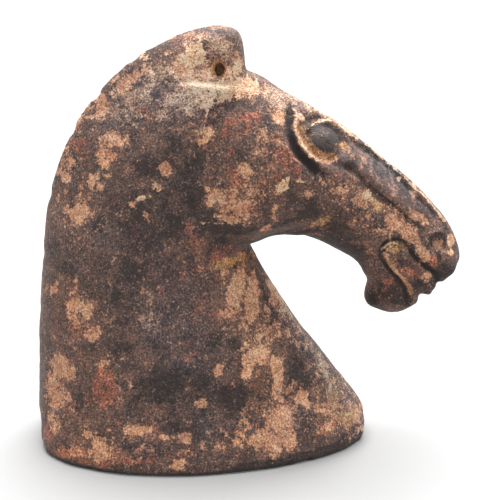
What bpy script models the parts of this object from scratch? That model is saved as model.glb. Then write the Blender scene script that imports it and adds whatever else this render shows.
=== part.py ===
"""A terracotta horse head, pressed in a mould as one piece, that stands on the flat foot of its neck.

Metres, +Z up, nose towards +X, the same on both sides of the plane Y = 0. The origin is on the
surface that the head stands on, under the middle of the foot's length.

The outlines and the carving are drawn from the side, as (x, z) on a head 276 units tall. A unit is
1 mm at the real height, so that the whole figure keeps its proportions when the height changes.
"""

import math

import bmesh
import bpy
import numpy as np

HEIGHT = 0.276  # metres, from the foot to the top of the forelock
DRAWN_HEIGHT = 276
UNIT = HEIGHT / DRAWN_HEIGHT

# Clay surface, in units: its spacing while it is carved, then before it is thinned out
FORM_SPACING = 1.8
CARVED_SPACING = 1.5
FORM_SMOOTHING = 6
CARVED_SMOOTHING = 3
KEPT_TRIANGLES = 9200
CRISP_ANGLE = 70  # degrees, past which an edge is drawn sharp

# Below the foot the forms run on a little, so that it is cut flat through full material
UNDERCUT = -5
FOOT_TOLERANCE = 0.01

# Neck: (height, value) from the foot up to the top of the forelock
NECK_BACK = (
    (-5, -110.5), (30, -109.5), (58, -108.5), (97, -106.5), (136, -102.5), (163, -98.5),
    (190, -90.5), (216, -78.5), (229, -69), (241, -58.5), (252.5, -45.5), (261.4, -31.5),
    (268.5, -17), (273.5, -5), (276, 6),
)
NECK_FRONT = (
    (-5, 112), (2, 112), (9, 111.5), (21, 106), (51, 86.5), (80, 64), (108, 47),
    (124, 37.5), (133, 33), (150, 30), (200, 30), (240, 31), (256, 30), (264, 28.8),
    (270, 27.5), (274, 24.5), (276, 19),
)
NECK_HALF_WIDTH = (
    (-5, 66), (10, 66), (40, 62), (70, 57.5), (100, 52), (130, 47), (160, 42), (190, 37.5),
    (215, 33), (232, 29), (245, 23.5), (256, 20), (265, 18), (271, 15.5), (276, 8),
)
NECK_FULLEST = ((-5, 0.41), (60, 0.45), (120, 0.5), (180, 0.58), (240, 0.66), (276, 0.6))
NECK_BLUNTNESS = ((-5, 0.51), (120, 0.55), (200, 0.58), (240, 0.54), (276, 0.5))

# Head: section lines that run from the nose bone down to the jaw, from the poll to the upper lip
HEAD_TOP = (
    (-20, 214), (6, 236), (31, 248), (56, 234.5), (87, 217), (118, 192.5), (140, 173.5),
    (155, 158), (164.5, 146), (169.5, 135), (171.5, 126), (171, 120),
)
HEAD_BOTTOM = (
    (-16, 152), (2, 136.5), (24, 133), (44, 140.5), (66, 141.5), (92, 129.5), (106, 118.5),
    (111.5, 96), (120, 88), (131.5, 88.5), (146, 100), (158, 110.5),
)
HEAD_CREST = ((0, 12), (0.2, 14), (0.36, 12), (0.5, 9), (0.7, 8), (0.85, 8), (1, 6))
HEAD_BROW = ((0, 30), (0.2, 32), (0.36, 30), (0.5, 20), (0.65, 17), (0.8, 20), (0.9, 20), (1, 12))
HEAD_CHEEK = ((0, 34), (0.2, 40), (0.36, 35), (0.5, 26), (0.65, 22), (0.85, 21), (0.93, 17), (1, 9))
HEAD_JAW = ((0, 26), (0.2, 30), (0.36, 23), (0.5, 18), (0.65, 17), (0.8, 18), (0.92, 14), (1, 7))
CREST_AT, BROW_AT, CHEEK_AT, JAW_AT = 0.05, 0.27, 0.58, 1.0
TOP_ROUNDING, JAW_ROUNDING = 0.12, 0.2
TIP_FROM, TIP_ROUNDING, TIP_WIDTH = 0.8, 0.5, 0.6

SECTIONS = 90
SECTION_POINTS = 40  # points down one side of a section

# Strokes of the carving tool, as (x, z) in the side view
CHEEK_RIM = ((12, 236), (6.5, 226), (4, 210), (3.5, 190), (3.5, 170), (5, 156), (9, 145), (16, 137))
POLL_SHELF = ((-12, 243), (2, 242.5), (18, 239.5), (27, 240))
THROAT_CREASE = ((4, 134), (11, 130), (20, 129), (30, 132))
JAW_HOLLOW = ((36, 146), (54, 148), (70, 153), (84, 162), (94, 166))
JAW_EDGE = ((30, 140), (46, 141), (60, 144), (74, 150))
TEMPLE_FURROW = ((58.5, 231), (59.5, 220), (60.5, 208.5), (64.5, 201), (70, 195), (76, 190.5), (82, 187))
BROW = ((54, 236), (59.5, 230.5), (64, 224.5), (68, 218.5))
UPPER_LID = ((67, 217), (74, 218.5), (82.5, 218), (89, 214.5), (93, 209))
LOWER_LID = ((64, 218), (65.5, 211.5), (68.5, 205.5), (72.5, 200.5), (78, 196), (85, 195.5), (92, 199.5))
UPPER_FURROW = ((93, 210), (100.5, 203), (108, 197), (122.5, 184.5), (136, 171.5), (147, 161), (155, 153))
LOWER_FURROW = ((91, 194.5), (98, 187.5), (105, 181.5), (117, 171), (125, 164), (134, 157.5), (144.5, 148.5))
NOSE_BONE = ((99, 196), (112, 185), (126, 172), (138, 161.5), (149, 151.5))
NOSTRIL_RIM = ((147, 142), (150, 147), (156, 147), (161.5, 142), (162, 135), (158.5, 129))
UPPER_LIP_CUT = (
    (116.5, 133), (117, 138), (120.5, 141.5), (125, 142.5), (130, 140.5), (135, 136), (139.5, 130),
    (144, 126), (149, 122), (153.5, 118), (157, 108),
)
LOWER_LIP_CUT = (
    (116.5, 134), (119.5, 126), (123.5, 122), (128, 118), (132.5, 114), (135.5, 109), (136.5, 103),
    (137.5, 96), (140, 86),
)
TONGUE_LINE = ((132, 123), (137.5, 118.5), (145, 111), (151, 103), (153, 98))

# Hollows and swellings of the face: centres as (x, z), and how deep or high they are
HEAD_SLOPE = -38  # degrees, of the line from the eye to the nostril
EYE_HOLLOW, EYE_HOLLOW_DEPTH = (79.5, 207.5), 4.2
EYEBALL, EYEBALL_HEIGHT = (81.5, 209), 4.8
NOSTRIL, NOSTRIL_DEPTH = (154.5, 138.5), 4.8
NOSTRIL_WING, WING_DEPTH = (165.5, 135.5), 1.2
TONGUE_HOLLOW, TONGUE_HOLLOW_DEPTH = (126.5, 135), 1.8

# The eye and the upper furrow keep this far off the middle of the face, and come in over a blend
CREST_CLEAR, CREST_BLEND = 2.5, 4

# Chips along the crest of the mane: (centre, reach, depth)
MANE_CHIPS = (
    ((-83, 211), 7, 1.8), ((-100, 168), 8, 1.5), ((-66, 234), 6, 1.5), ((-107, 64), 10, 1.6),
    ((-109, 22), 8, 1.2), ((-104, 128), 8, 1.1), ((-41, 256), 6, 1.1),
)

# Ear sockets: sunk blind from each side for the tenons of separately made ears
EAR_CENTRE = (14.3, 252.5)
EAR_HALF_WIDTH, EAR_HALF_HEIGHT = 4.7, 5.6
EAR_MOUTH, EAR_BOTTOM = 30, 8  # distances from the middle of the head
EAR_MOUTH_SIZE, EAR_BOTTOM_SIZE = 1.1, 0.8  # shares of the half width and height
EAR_POINT = 0.28  # how much the top of the drop narrows
EAR_SIDES = 16


def smooth_values(pairs, places):
    """A curve through (place, value) pairs that never overshoots them, read at places."""
    x, y = np.array(pairs, float).T
    step, slope = np.diff(x), np.diff(y) / np.diff(x)
    same_way = slope[:-1] * slope[1:] > 0
    harmonic = 2 * slope[:-1] * slope[1:] / np.where(same_way, slope[:-1] + slope[1:], 1)
    tangent = np.concatenate([slope[:1], np.where(same_way, harmonic, 0), slope[-1:]])
    k = np.clip(np.searchsorted(x, places) - 1, 0, len(step) - 1)
    u = np.clip((places - x[k]) / step[k], 0, 1)
    return (
        y[k] * (1 + 2 * u) * (1 - u) ** 2
        + y[k + 1] * u * u * (3 - 2 * u)
        + step[k] * (tangent[k] * u * (1 - u) ** 2 - tangent[k + 1] * u * u * (1 - u))
    )


def smooth_path(points, shares):
    """A curve through points of the plane, read at shares 0 to 1 of the way by number of points."""
    points = np.array(points, float)
    padded = np.vstack([2 * points[0] - points[1], points, 2 * points[-1] - points[-2]])
    along = np.asarray(shares) * (len(points) - 1)
    k = np.clip(along.astype(int), 0, len(points) - 2)
    u = (along - k)[:, None]
    a, b, c, d = (padded[k + i] for i in range(4))
    return 0.5 * (
        2 * b + (c - a) * u + (2 * a - 5 * b + 4 * c - d) * u**2 + (3 * b - a - 3 * c + d) * u**3
    )


def ring(start, end, half_width):
    """A closed section between two points of the mirror plane, with half_width read along it."""
    share = (1 - np.cos(np.linspace(0, math.pi, SECTION_POINTS))) / 2
    way = np.outer(1 - share, start) + np.outer(share, end)
    side = half_width(share)
    right = np.column_stack([way[:, 0], -side, way[:, 1]])
    left = np.column_stack([way[:, 0], side, way[:, 1]])[-2:0:-1]
    return np.vstack([right, left]) * UNIT


def loft(shape, rings):
    """Adds a closed body with its skin stretched over the rings."""
    rows = [[shape.verts.new(point) for point in points] for points in rings]
    for row, after in zip(rows, rows[1:]):
        for i in range(len(row)):
            j = (i + 1) % len(row)
            shape.faces.new((row[i], row[j], after[j], after[i]))
    shape.faces.new(rows[0][::-1])
    shape.faces.new(rows[-1])


def neck_rings():
    """Level sections from under the foot to the top of the forelock, closer where the top rounds over."""
    rise = np.sin(np.linspace(0, math.pi / 2, SECTIONS))
    levels = UNDERCUT + (DRAWN_HEIGHT - UNDERCUT) * rise
    back, front = smooth_values(NECK_BACK, levels), smooth_values(NECK_FRONT, levels)
    widths = smooth_values(NECK_HALF_WIDTH, levels)
    skews = math.log(0.5) / np.log(smooth_values(NECK_FULLEST, levels))
    bluntness = smooth_values(NECK_BLUNTNESS, levels)
    for level, x0, x1, width, skew, blunt in zip(levels, back, front, widths, skews, bluntness):

        def half_width(share, width=width, skew=skew, blunt=blunt):
            return width * np.sin(math.pi * share**skew).clip(0) ** blunt

        yield ring((x0, level), (x1, level), half_width)


def head_rings():
    """Sections from the poll to the tip of the upper lip, each from the nose bone down to the jaw."""
    along = np.linspace(0, 1, SECTIONS)
    tops, bottoms = smooth_path(HEAD_TOP, along), smooth_path(HEAD_BOTTOM, along)
    profiles = [smooth_values(line, along) for line in (HEAD_CREST, HEAD_BROW, HEAD_CHEEK, HEAD_JAW)]
    tips = np.clip((along - TIP_FROM) / (1 - TIP_FROM), 0, 1) ** 2
    for top, bottom, crest, brow, cheek, jaw, tip in zip(tops, bottoms, *profiles, tips):

        def half_width(share, crest=crest, brow=brow, cheek=cheek, jaw=jaw, tip=tip):
            widths = ((CREST_AT, crest), (BROW_AT, brow), (CHEEK_AT, cheek), (JAW_AT, jaw))
            side = smooth_values(widths, share)
            top_end = TOP_ROUNDING + (TIP_ROUNDING - TOP_ROUNDING) * tip
            jaw_end = JAW_ROUNDING + (TIP_ROUNDING - JAW_ROUNDING) * tip
            over_top = np.sqrt(1 - (1 - np.clip(share / top_end, 0, 1)) ** 2)
            under_jaw = np.sqrt(1 - (1 - np.clip((1 - share) / jaw_end, 0, 1)) ** 2)
            return side * over_top * under_jaw * math.sqrt(1 - (1 - TIP_WIDTH**2) * tip)

        yield ring(top, bottom, half_width)


def along_stroke(places, points):
    """For each place: its distance from a stroke, how far along it is (0 to 1), and its side of it."""
    line = smooth_path(points, np.linspace(0, 1, 8 * (len(points) - 1) + 1))
    starts, steps = line[:-1], np.diff(line, axis=0)
    lengths = np.linalg.norm(steps, axis=1)
    reached = np.concatenate([[0], np.cumsum(lengths)])
    best = np.full(len(places), np.inf)
    share, side = np.zeros(len(places)), np.zeros(len(places))
    for start, step, length, done in zip(starts, steps, lengths, reached):
        offset = places - start
        u = np.clip(offset @ step / length**2, 0, 1)
        gap = offset - u[:, None] * step
        distance = np.hypot(gap[:, 0], gap[:, 1])
        nearer = distance < best
        best = np.where(nearer, distance, best)
        share = np.where(nearer, (done + u * length) / reached[-1], share)
        side = np.where(nearer, np.sign(step[0] * gap[:, 1] - step[1] * gap[:, 0]), side)
    return best, share, side


def bump_of(distance, reach):
    """A soft hump, 1 on the line and 0 at its reach."""
    return (1 - np.clip(distance / reach, 0, 1) ** 2) ** 2


def fade(share, start, end):
    """1 along a stroke, falling to 0 over its first and last shares."""
    rise = np.clip(share / max(start, 1e-6), 0, 1)
    fall = np.clip((1 - share) / max(end, 1e-6), 0, 1)
    return rise * (2 - rise) * fall * (2 - fall)


def groove(places, points, reach, depth, start=0.15, end=0.15, opens=1):
    """A groove, or a ridge where the depth is below nothing, whose reach grows to opens times itself."""
    distance, share, _ = along_stroke(places, points)
    return -depth * bump_of(distance, reach * (1 + (opens - 1) * share)) * fade(share, start, end)


def step_up(places, points, rise, edge, before, after, start, end):
    """The right side of a stroke stands up by rise, an edge away from the line, and dies out over
    after. The left side sinks as much and comes back over before."""
    distance, share, side = along_stroke(places, points)
    ramp = np.clip(distance / edge, 0, 1)
    high = np.where(side < 0, ramp * bump_of(np.maximum(distance - edge, 0), after), 0)
    low = np.where(side > 0, ramp * bump_of(np.maximum(distance - edge, 0), before), 0)
    return rise * (high - low) * fade(share, start, end)


def oval(places, centre, half_length, half_height, turn):
    """Distance from the centre of an oval turned by so many degrees, 1 on its edge."""
    offset = places - np.array(centre)
    cos, sin = math.cos(math.radians(turn)), math.sin(math.radians(turn))
    along = offset[:, 0] * cos + offset[:, 1] * sin
    across = offset[:, 1] * cos - offset[:, 0] * sin
    return np.hypot(along / half_length, across / half_height)


def cheek_and_poll(places):
    """The rear rim of the cheek over a hollow of the neck, the poll's shelf and the jaw bone."""
    return (
        step_up(places, CHEEK_RIM, rise=1.8, edge=4.5, before=24, after=20, start=0.45, end=0.15)
        + step_up(places, POLL_SHELF, rise=1.0, edge=1.2, before=4, after=6, start=0.3, end=0.3)
        + groove(places, THROAT_CREASE, reach=4.5, depth=1.8, start=0.5, end=0.2)
        + groove(places, JAW_HOLLOW, reach=6, depth=1.2, start=0.3, end=0.4)
        + groove(places, JAW_EDGE, reach=5, depth=-1.2, start=0.3, end=0.3)
    )


def eye(places):
    """A drop-shaped hollow with a bulging ball in it, its lids, the brow and the furrow behind it."""
    hollow = bump_of(oval(places, EYE_HOLLOW, half_length=18, half_height=12.5, turn=HEAD_SLOPE), 1)
    ball = oval(places, EYEBALL, half_length=10.2, half_height=8.6, turn=HEAD_SLOPE)
    return (
        EYEBALL_HEIGHT * np.sqrt(np.clip(1 - ball**2, 0, 1))
        - EYE_HOLLOW_DEPTH * hollow
        + groove(places, LOWER_LID, reach=3.0, depth=-3.4, start=0.2, end=0.3)
        + groove(places, UPPER_LID, reach=2.4, depth=-2.0, start=0.2, end=0.3)
        + groove(places, BROW, reach=2.6, depth=-1.5, start=0.3, end=0.3)
        + groove(places, TEMPLE_FURROW, reach=4.4, depth=5.4, start=0.3, end=0.35)
    )


def nose(places):
    """Two furrows down the side of the nose with the bone between them, and the flared nostril."""
    nostril = bump_of(oval(places, NOSTRIL, half_length=6.6, half_height=6.8, turn=20), 1)
    wing = bump_of(oval(places, NOSTRIL_WING, half_length=3, half_height=5.5, turn=-20), 1)
    return (
        groove(places, LOWER_FURROW, reach=3.8, depth=4.2, start=0.12, end=0.2)
        + groove(places, NOSE_BONE, reach=6, depth=-1.2, start=0.3, end=0.3)
        - NOSTRIL_DEPTH * nostril
        + groove(places, NOSTRIL_RIM, reach=3, depth=-1.4, start=0.2, end=0.2)
        - WING_DEPTH * wing
    )


def mouth(places):
    """The parted lips: a cut under the upper lip, a cut over the lower lip and the tongue between."""
    tongue_hollow = bump_of(oval(places, TONGUE_HOLLOW, half_length=6, half_height=4.5, turn=-50), 1)
    return (
        groove(places, UPPER_LIP_CUT, reach=2.9, depth=4.2, start=0.15, end=0.01, opens=1.7)
        + groove(places, LOWER_LIP_CUT, reach=2.9, depth=4.2, start=0.1, end=0.01, opens=1.5)
        + groove(places, TONGUE_LINE, reach=2.2, depth=1.8, start=0.3, end=0.01)
        - TONGUE_HOLLOW_DEPTH * tongue_hollow
    )


def mane_wear(places, sideways):
    """Chips knocked off the crest of the mane."""
    wear = np.zeros(len(places))
    for centre, reach, depth in MANE_CHIPS:
        gap = places - np.array(centre)
        wear -= depth * bump_of(np.hypot(np.hypot(gap[:, 0], gap[:, 1]), sideways), reach)
    return wear


def carving(places, sideways):
    """How far the clay stands out at each place of the side view, in units."""
    off_crest = np.clip((sideways - CREST_CLEAR) / CREST_BLEND, 0, 1)
    upper_furrow = groove(places, UPPER_FURROW, reach=3.2, depth=3.4, start=0.12, end=0.2)
    return (
        cheek_and_poll(places)
        + (eye(places) + upper_furrow) * off_crest
        + nose(places)
        + mouth(places)
        + mane_wear(places, sideways)
    )


def evaluated_mesh(obj):
    """The object's mesh with its modifiers applied."""
    graph = bpy.context.evaluated_depsgraph_get()
    return bpy.data.meshes.new_from_object(obj.evaluated_get(graph))


def new_object(name, mesh):
    obj = bpy.data.objects.new(name, mesh)
    bpy.context.scene.collection.objects.link(obj)
    return obj


def reskin(obj, spacing, smoothing):
    """Covers the object with one even skin and relaxes it."""
    skin = obj.modifiers.new("skin", "REMESH")
    skin.mode = "VOXEL"
    skin.voxel_size = spacing * UNIT
    relax = obj.modifiers.new("relax", "SMOOTH")
    relax.iterations = smoothing
    obj.data = evaluated_mesh(obj)
    obj.modifiers.clear()


def forms():
    """The neck and the head, passing through each other."""
    shape = bmesh.new()
    loft(shape, neck_rings())
    loft(shape, head_rings())
    bmesh.ops.recalc_face_normals(shape, faces=shape.faces)
    mesh = bpy.data.meshes.new("horse_head")
    shape.to_mesh(mesh)
    shape.free()
    return mesh


def carve(mesh):
    """Moves each point of the skin along its normal by the carving at its place."""
    count = len(mesh.vertices)
    points, normals = np.empty(count * 3), np.empty(count * 3)
    mesh.vertices.foreach_get("co", points)
    mesh.vertices.foreach_get("normal", normals)
    points, normals = points.reshape(-1, 3), normals.reshape(-1, 3)
    relief = carving(points[:, ::2] / UNIT, np.abs(points[:, 1]) / UNIT) * UNIT
    points += normals * relief[:, None]
    mesh.vertices.foreach_set("co", points.ravel())
    mesh.update()


def thin_out(obj):
    """Keeps small faces where the form turns sharply and large ones elsewhere."""
    obj.data.calc_loop_triangles()
    thinner = obj.modifiers.new("thinner", "DECIMATE")
    thinner.ratio = KEPT_TRIANGLES / len(obj.data.loop_triangles)
    obj.data = evaluated_mesh(obj)
    obj.modifiers.clear()


def cut_foot(obj):
    """Cuts the figure off flat at the level that it stands on."""
    shape = bmesh.new()
    shape.from_mesh(obj.data)
    everything = shape.verts[:] + shape.edges[:] + shape.faces[:]
    cut = bmesh.ops.bisect_plane(
        shape,
        geom=everything,
        dist=UNIT * FOOT_TOLERANCE,
        plane_co=(0, 0, 0),
        plane_no=(0, 0, -1),
        clear_outer=True,
    )
    rim = [item for item in cut["geom_cut"] if isinstance(item, bmesh.types.BMEdge)]
    bmesh.ops.edgeloop_fill(shape, edges=rim)
    for vert in shape.verts:
        if vert.co.z < 2 * UNIT * FOOT_TOLERANCE:
            vert.co.z = 0
    bmesh.ops.recalc_face_normals(shape, faces=shape.faces)
    shape.to_mesh(obj.data)
    shape.free()


def ear_cutter(side):
    """A drop-shaped plug that sinks one ear socket, on the side of Y that side gives."""
    shape = bmesh.new()
    rows = []
    for distance, size in ((EAR_MOUTH, EAR_MOUTH_SIZE), (EAR_BOTTOM, EAR_BOTTOM_SIZE)):
        row = []
        for i in range(EAR_SIDES):
            angle = 2 * math.pi * i / EAR_SIDES
            lift = math.cos(angle)
            x = EAR_CENTRE[0] + EAR_HALF_WIDTH * size * math.sin(angle) * (1 - EAR_POINT * max(lift, 0) ** 2)
            z = EAR_CENTRE[1] + EAR_HALF_HEIGHT * size * lift
            row.append(shape.verts.new((x * UNIT, side * distance * UNIT, z * UNIT)))
        rows.append(row)
    shape.faces.new(rows[0])
    shape.faces.new(rows[1])
    bmesh.ops.bridge_loops(shape, edges=[e for e in shape.edges])
    bmesh.ops.recalc_face_normals(shape, faces=shape.faces)
    mesh = bpy.data.meshes.new("ear_cutter")
    shape.to_mesh(mesh)
    shape.free()
    cutter = new_object("ear_cutter", mesh)
    cutter.hide_render = True
    cutter.display_type = "WIRE"
    return cutter


def terracotta():
    material = bpy.data.materials.new("worn_terracotta")
    material.use_nodes = True
    shader = material.node_tree.nodes["Principled BSDF"]
    shader.inputs["Base Color"].default_value = (0.20, 0.12, 0.09, 1)
    shader.inputs["Roughness"].default_value = 0.85
    shader.inputs["Metallic"].default_value = 0
    return material


def main():
    for old in list(bpy.data.objects):
        bpy.data.objects.remove(old)
    head = new_object("horse_head", forms())
    reskin(head, FORM_SPACING, FORM_SMOOTHING)
    carve(head.data)
    reskin(head, CARVED_SPACING, CARVED_SMOOTHING)
    thin_out(head)
    cut_foot(head)
    for side in (-1, 1):
        cut = head.modifiers.new("ear_socket", "BOOLEAN")
        cut.operation = "DIFFERENCE"
        cut.solver = "EXACT"
        cut.object = ear_cutter(side)
    head.data.materials.append(terracotta())
    head.data.shade_smooth()
    head.data.set_sharp_from_angle(angle=math.radians(CRISP_ANGLE))


main()
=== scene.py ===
import math

import bmesh
import bpy
import numpy as np
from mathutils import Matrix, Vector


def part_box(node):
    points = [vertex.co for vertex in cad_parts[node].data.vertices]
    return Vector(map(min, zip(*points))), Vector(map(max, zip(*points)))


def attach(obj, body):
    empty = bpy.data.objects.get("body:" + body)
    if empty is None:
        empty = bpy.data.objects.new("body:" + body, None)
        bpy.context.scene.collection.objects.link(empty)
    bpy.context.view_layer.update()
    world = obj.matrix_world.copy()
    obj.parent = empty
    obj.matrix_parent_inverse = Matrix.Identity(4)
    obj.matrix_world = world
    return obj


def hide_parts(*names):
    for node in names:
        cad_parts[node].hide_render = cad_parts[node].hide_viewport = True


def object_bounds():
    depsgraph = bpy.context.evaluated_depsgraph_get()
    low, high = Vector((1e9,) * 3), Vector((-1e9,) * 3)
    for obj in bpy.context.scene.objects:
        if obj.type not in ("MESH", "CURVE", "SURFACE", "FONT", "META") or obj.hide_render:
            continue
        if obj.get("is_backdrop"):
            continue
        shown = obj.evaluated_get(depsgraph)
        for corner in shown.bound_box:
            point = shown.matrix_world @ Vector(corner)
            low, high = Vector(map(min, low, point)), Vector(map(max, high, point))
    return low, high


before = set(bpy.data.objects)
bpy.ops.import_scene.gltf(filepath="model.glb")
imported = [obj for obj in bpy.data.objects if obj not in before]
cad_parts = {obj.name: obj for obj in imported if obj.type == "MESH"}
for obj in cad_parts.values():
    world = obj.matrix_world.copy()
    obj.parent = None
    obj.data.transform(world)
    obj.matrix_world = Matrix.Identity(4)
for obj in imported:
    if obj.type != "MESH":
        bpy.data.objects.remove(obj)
cad_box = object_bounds()

# The head is drawn from the side, as (x, z) in units of 1/276 of its height, about 1 mm
DRAWN_HEIGHT = 276
low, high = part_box("horse_head")
UNIT = (high.z - low.z) / DRAWN_HEIGHT

# Clay surface, in units: its spacing while it is carved, then while it is worn
FORM_SPACING, FORM_SMOOTHING = 1.6, 7
CARVED_SPACING, CARVED_SMOOTHING = 1.0, 2
KEPT_TRIANGLES = 192000
UNDERCUT = -5
FOOT_TOLERANCE = 0.01

# Neck: (height, value) from the foot up to the top of the forelock
NECK_BACK = (
    (-5, -110.5), (30, -109.5), (58, -108.5), (97, -106.5), (136, -102.5), (163, -98.5),
    (190, -90.5), (216, -78.5), (229, -69), (241, -58.5), (252.5, -45.5), (261.4, -31.5),
    (268.5, -17), (273.5, -5), (276, 6),
)
NECK_FRONT = (
    (-5, 112), (2, 112), (9, 111.5), (21, 106), (51, 86.5), (80, 64), (108, 47),
    (124, 37.5), (133, 33), (150, 30), (200, 30), (240, 31), (256, 30), (264, 28.8),
    (270, 27.5), (274, 24.5), (276, 19),
)
NECK_HALF_WIDTH = (
    (-5, 66), (10, 66), (40, 62), (70, 57.5), (100, 52), (130, 47), (160, 42), (190, 37.5),
    (215, 33), (232, 29), (245, 23.5), (256, 20), (265, 18), (271, 15.5), (276, 8),
)
NECK_FULLEST = ((-5, 0.41), (60, 0.45), (120, 0.5), (180, 0.58), (240, 0.66), (276, 0.6))
NECK_BLUNTNESS = ((-5, 0.51), (120, 0.55), (200, 0.58), (240, 0.54), (276, 0.5))

# Head: section lines that run from the nose bone down to the jaw, from the poll to the upper lip
HEAD_TOP = (
    (-20, 214), (6, 236), (31, 248), (56, 234.5), (87, 217), (118, 192.5), (140, 173.5),
    (155, 158), (164.5, 146), (169.5, 135), (171.5, 126), (171, 120),
)
HEAD_BOTTOM = (
    (-16, 152), (2, 136.5), (24, 133), (44, 140.5), (66, 141.5), (92, 129.5), (106, 118.5),
    (111.5, 96), (120, 88), (131.5, 88.5), (146, 100), (158, 110.5),
)
HEAD_CREST = ((0, 12), (0.2, 14), (0.36, 12), (0.5, 9), (0.7, 8), (0.85, 8), (1, 6))
HEAD_BROW = ((0, 30), (0.2, 32), (0.36, 30), (0.5, 20), (0.65, 17), (0.8, 20), (0.9, 20), (1, 12))
HEAD_CHEEK = ((0, 34), (0.2, 40), (0.36, 35), (0.5, 26), (0.65, 22), (0.85, 21), (0.93, 17), (1, 9))
HEAD_JAW = ((0, 26), (0.2, 30), (0.36, 23), (0.5, 18), (0.65, 17), (0.8, 18), (0.92, 14), (1, 7))
CREST_AT, BROW_AT, CHEEK_AT, JAW_AT = 0.05, 0.27, 0.58, 1.0
TOP_ROUNDING, JAW_ROUNDING = 0.12, 0.2
TIP_FROM, TIP_ROUNDING, TIP_WIDTH = 0.8, 0.5, 0.6

SECTIONS = 90
SECTION_POINTS = 40  # points down one side of a section

# Strokes of the carving tool, as (x, z) in the side view
CHEEK_RIM = ((12, 236), (6.5, 226), (4, 210), (3.5, 190), (3.5, 170), (5, 156), (9, 145), (16, 137))
POLL_SHELF = ((-12, 244), (2, 243.7), (18, 241.6), (27, 241))
THROAT_CREASE = ((4, 134), (11, 130), (20, 129), (30, 132))
JAW_HOLLOW = ((36, 146), (54, 148), (70, 153), (84, 162), (94, 166))
JAW_EDGE = ((30, 140), (46, 141), (60, 144), (74, 150))
TEMPLE_FURROW = ((58.5, 232), (57.8, 220), (58, 212.5), (62.5, 203.5), (69.5, 196), (75.5, 190), (82, 185.5))
BROW = ((59, 229.5), (62, 223.5), (66.5, 217))
UPPER_LID = (
    (66.5, 214.5), (70.5, 216.3), (75, 217.4), (80, 217.8), (85, 217), (89, 214.3), (92.5, 210.3),
    (96.5, 204.5),
)
LID_EDGE = (
    (60.5, 226), (61, 221), (61.3, 215), (64, 208), (68.3, 202.5), (73, 198), (78, 195.8), (84, 196.2),
    (90.5, 198.5), (97, 201),
)
LID_HOLLOW = ((64, 223.5), (71, 221.3), (78.5, 220.6), (85, 219))
CORNER_HOLLOW = ((85.5, 192), (93, 192.5), (100, 188.5))
UPPER_FURROW = (
    (96, 207.5), (101, 203.5), (107.5, 198.5), (116.6, 191.8), (124.5, 185), (131, 178.5), (137.7, 171.3),
    (146.4, 162.5), (153.9, 154.5), (158, 149),
)
LOWER_FURROW = (
    (91, 195), (97.2, 190.2), (101.8, 186), (109.8, 178.5), (119.1, 170), (128.4, 162), (136.7, 154.2),
    (143.5, 148.5),
)
NOSE_BONE = ((99, 196), (112, 185), (126, 172), (138, 161.5), (149, 151.5))
NOSTRIL_RIM = ((148.2, 134), (148, 140), (150.5, 144.3), (156, 144.5), (161, 141.5))
NOSTRIL_NECK = ((154, 134), (154.3, 130), (156, 126.5))
UPPER_LIP_CUT = (
    (117.1, 134.5), (117.3, 137.5), (119.2, 140.8), (122.5, 142.9), (126.5, 143.4), (130.5, 141.5),
    (135, 136.8), (138.4, 131.8), (141.8, 128.3), (145.8, 124.9), (149.8, 122.4), (153.1, 119), (157, 108),
)
LOWER_LIP_CUT = (
    (117.2, 136.2), (118, 131.9), (120.9, 125.9), (125, 120.4), (129, 116.2), (132.4, 112), (133.9, 106.6),
    (134.8, 100), (134.5, 93),
)
TONGUE_LINE = ((127.5, 130.5), (131.5, 126), (137, 120.5), (142.5, 115), (147.5, 108.5))
LOWER_LIP_RIM = ((118.8, 135.5), (121.8, 129.6), (126, 123.8), (131.5, 117.9), (135.7, 111.3), (138, 104))

# Hollows and swellings of the face: centres as (x, z), and how deep or high they are
EYE_TURN = -33  # degrees, of the line from the outer to the inner corner of the eye
EYE_HOLLOW, EYE_HOLLOW_DEPTH = (79.5, 207.5), 4.4
EYEBALL, EYEBALL_HEIGHT = (80.8, 208.3), 5.0
NOSTRIL, NOSTRIL_DEPTH = (154.3, 138.2), 2.8
NOSTRIL_WING, WING_DEPTH = (164.8, 135), 0.9
TONGUE_HOLLOW, TONGUE_HOLLOW_DEPTH = (127.5, 136.5), 1.4
TONGUE_LOBE, TONGUE_LOBE_HEIGHT = (147.5, 106.5), 1.8
CHIN, CHIN_HOLLOW, CHIN_REACH, CHIN_HEIGHT = (113, 96), (111.5, 109), 8, 2.4
# Notches between the worn lips, each (x, z, reach, depth)
LIP_NOTCHES = ((152.5, 113.5, 4.5, 2.6), (145.5, 102.5, 5.5, 3.8))

# The eye and the upper furrow keep this far off the middle of the face, and come in over a blend
CREST_CLEAR, CREST_BLEND = 3, 5

# Chips and nicks: (place, reach, depth), along the crest of the mane and the rim of the foot
MANE_CHIPS = (
    ((-83, 211), 7, 1.8), ((-100, 168), 8, 1.5), ((-66, 234), 6, 1.5), ((-107, 64), 10, 1.6),
    ((-109, 22), 8, 1.2), ((-104, 128), 8, 1.1), ((-41, 256), 6, 1.1),
)

# Ear sockets: sunk blind from each side for the tenons of separately made ears
EAR_CENTRE = (13.8, 253)
EAR_HALF_WIDTH, EAR_HALF_HEIGHT = 4.7, 6.2
# Sections of the socket: distance from the middle of the head, size, and how far forward and down it lies
EAR_SECTIONS = ((30, 1.7, 0, 0), (19, 1.1, 0, 0), (14.5, 0.7, 0.3, 1.0), (11, 0.6, 0.4, 1.2))
# the inner end of each ear socket is painted dark as shade
EAR_THROAT, EAR_THROAT_SIDE = (14.3, 251.6), 14  # the dark inner end, in by this distance from the middle
EAR_POINT = 0.28  # how much the top of the drop narrows
EAR_SIDES = 20


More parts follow.
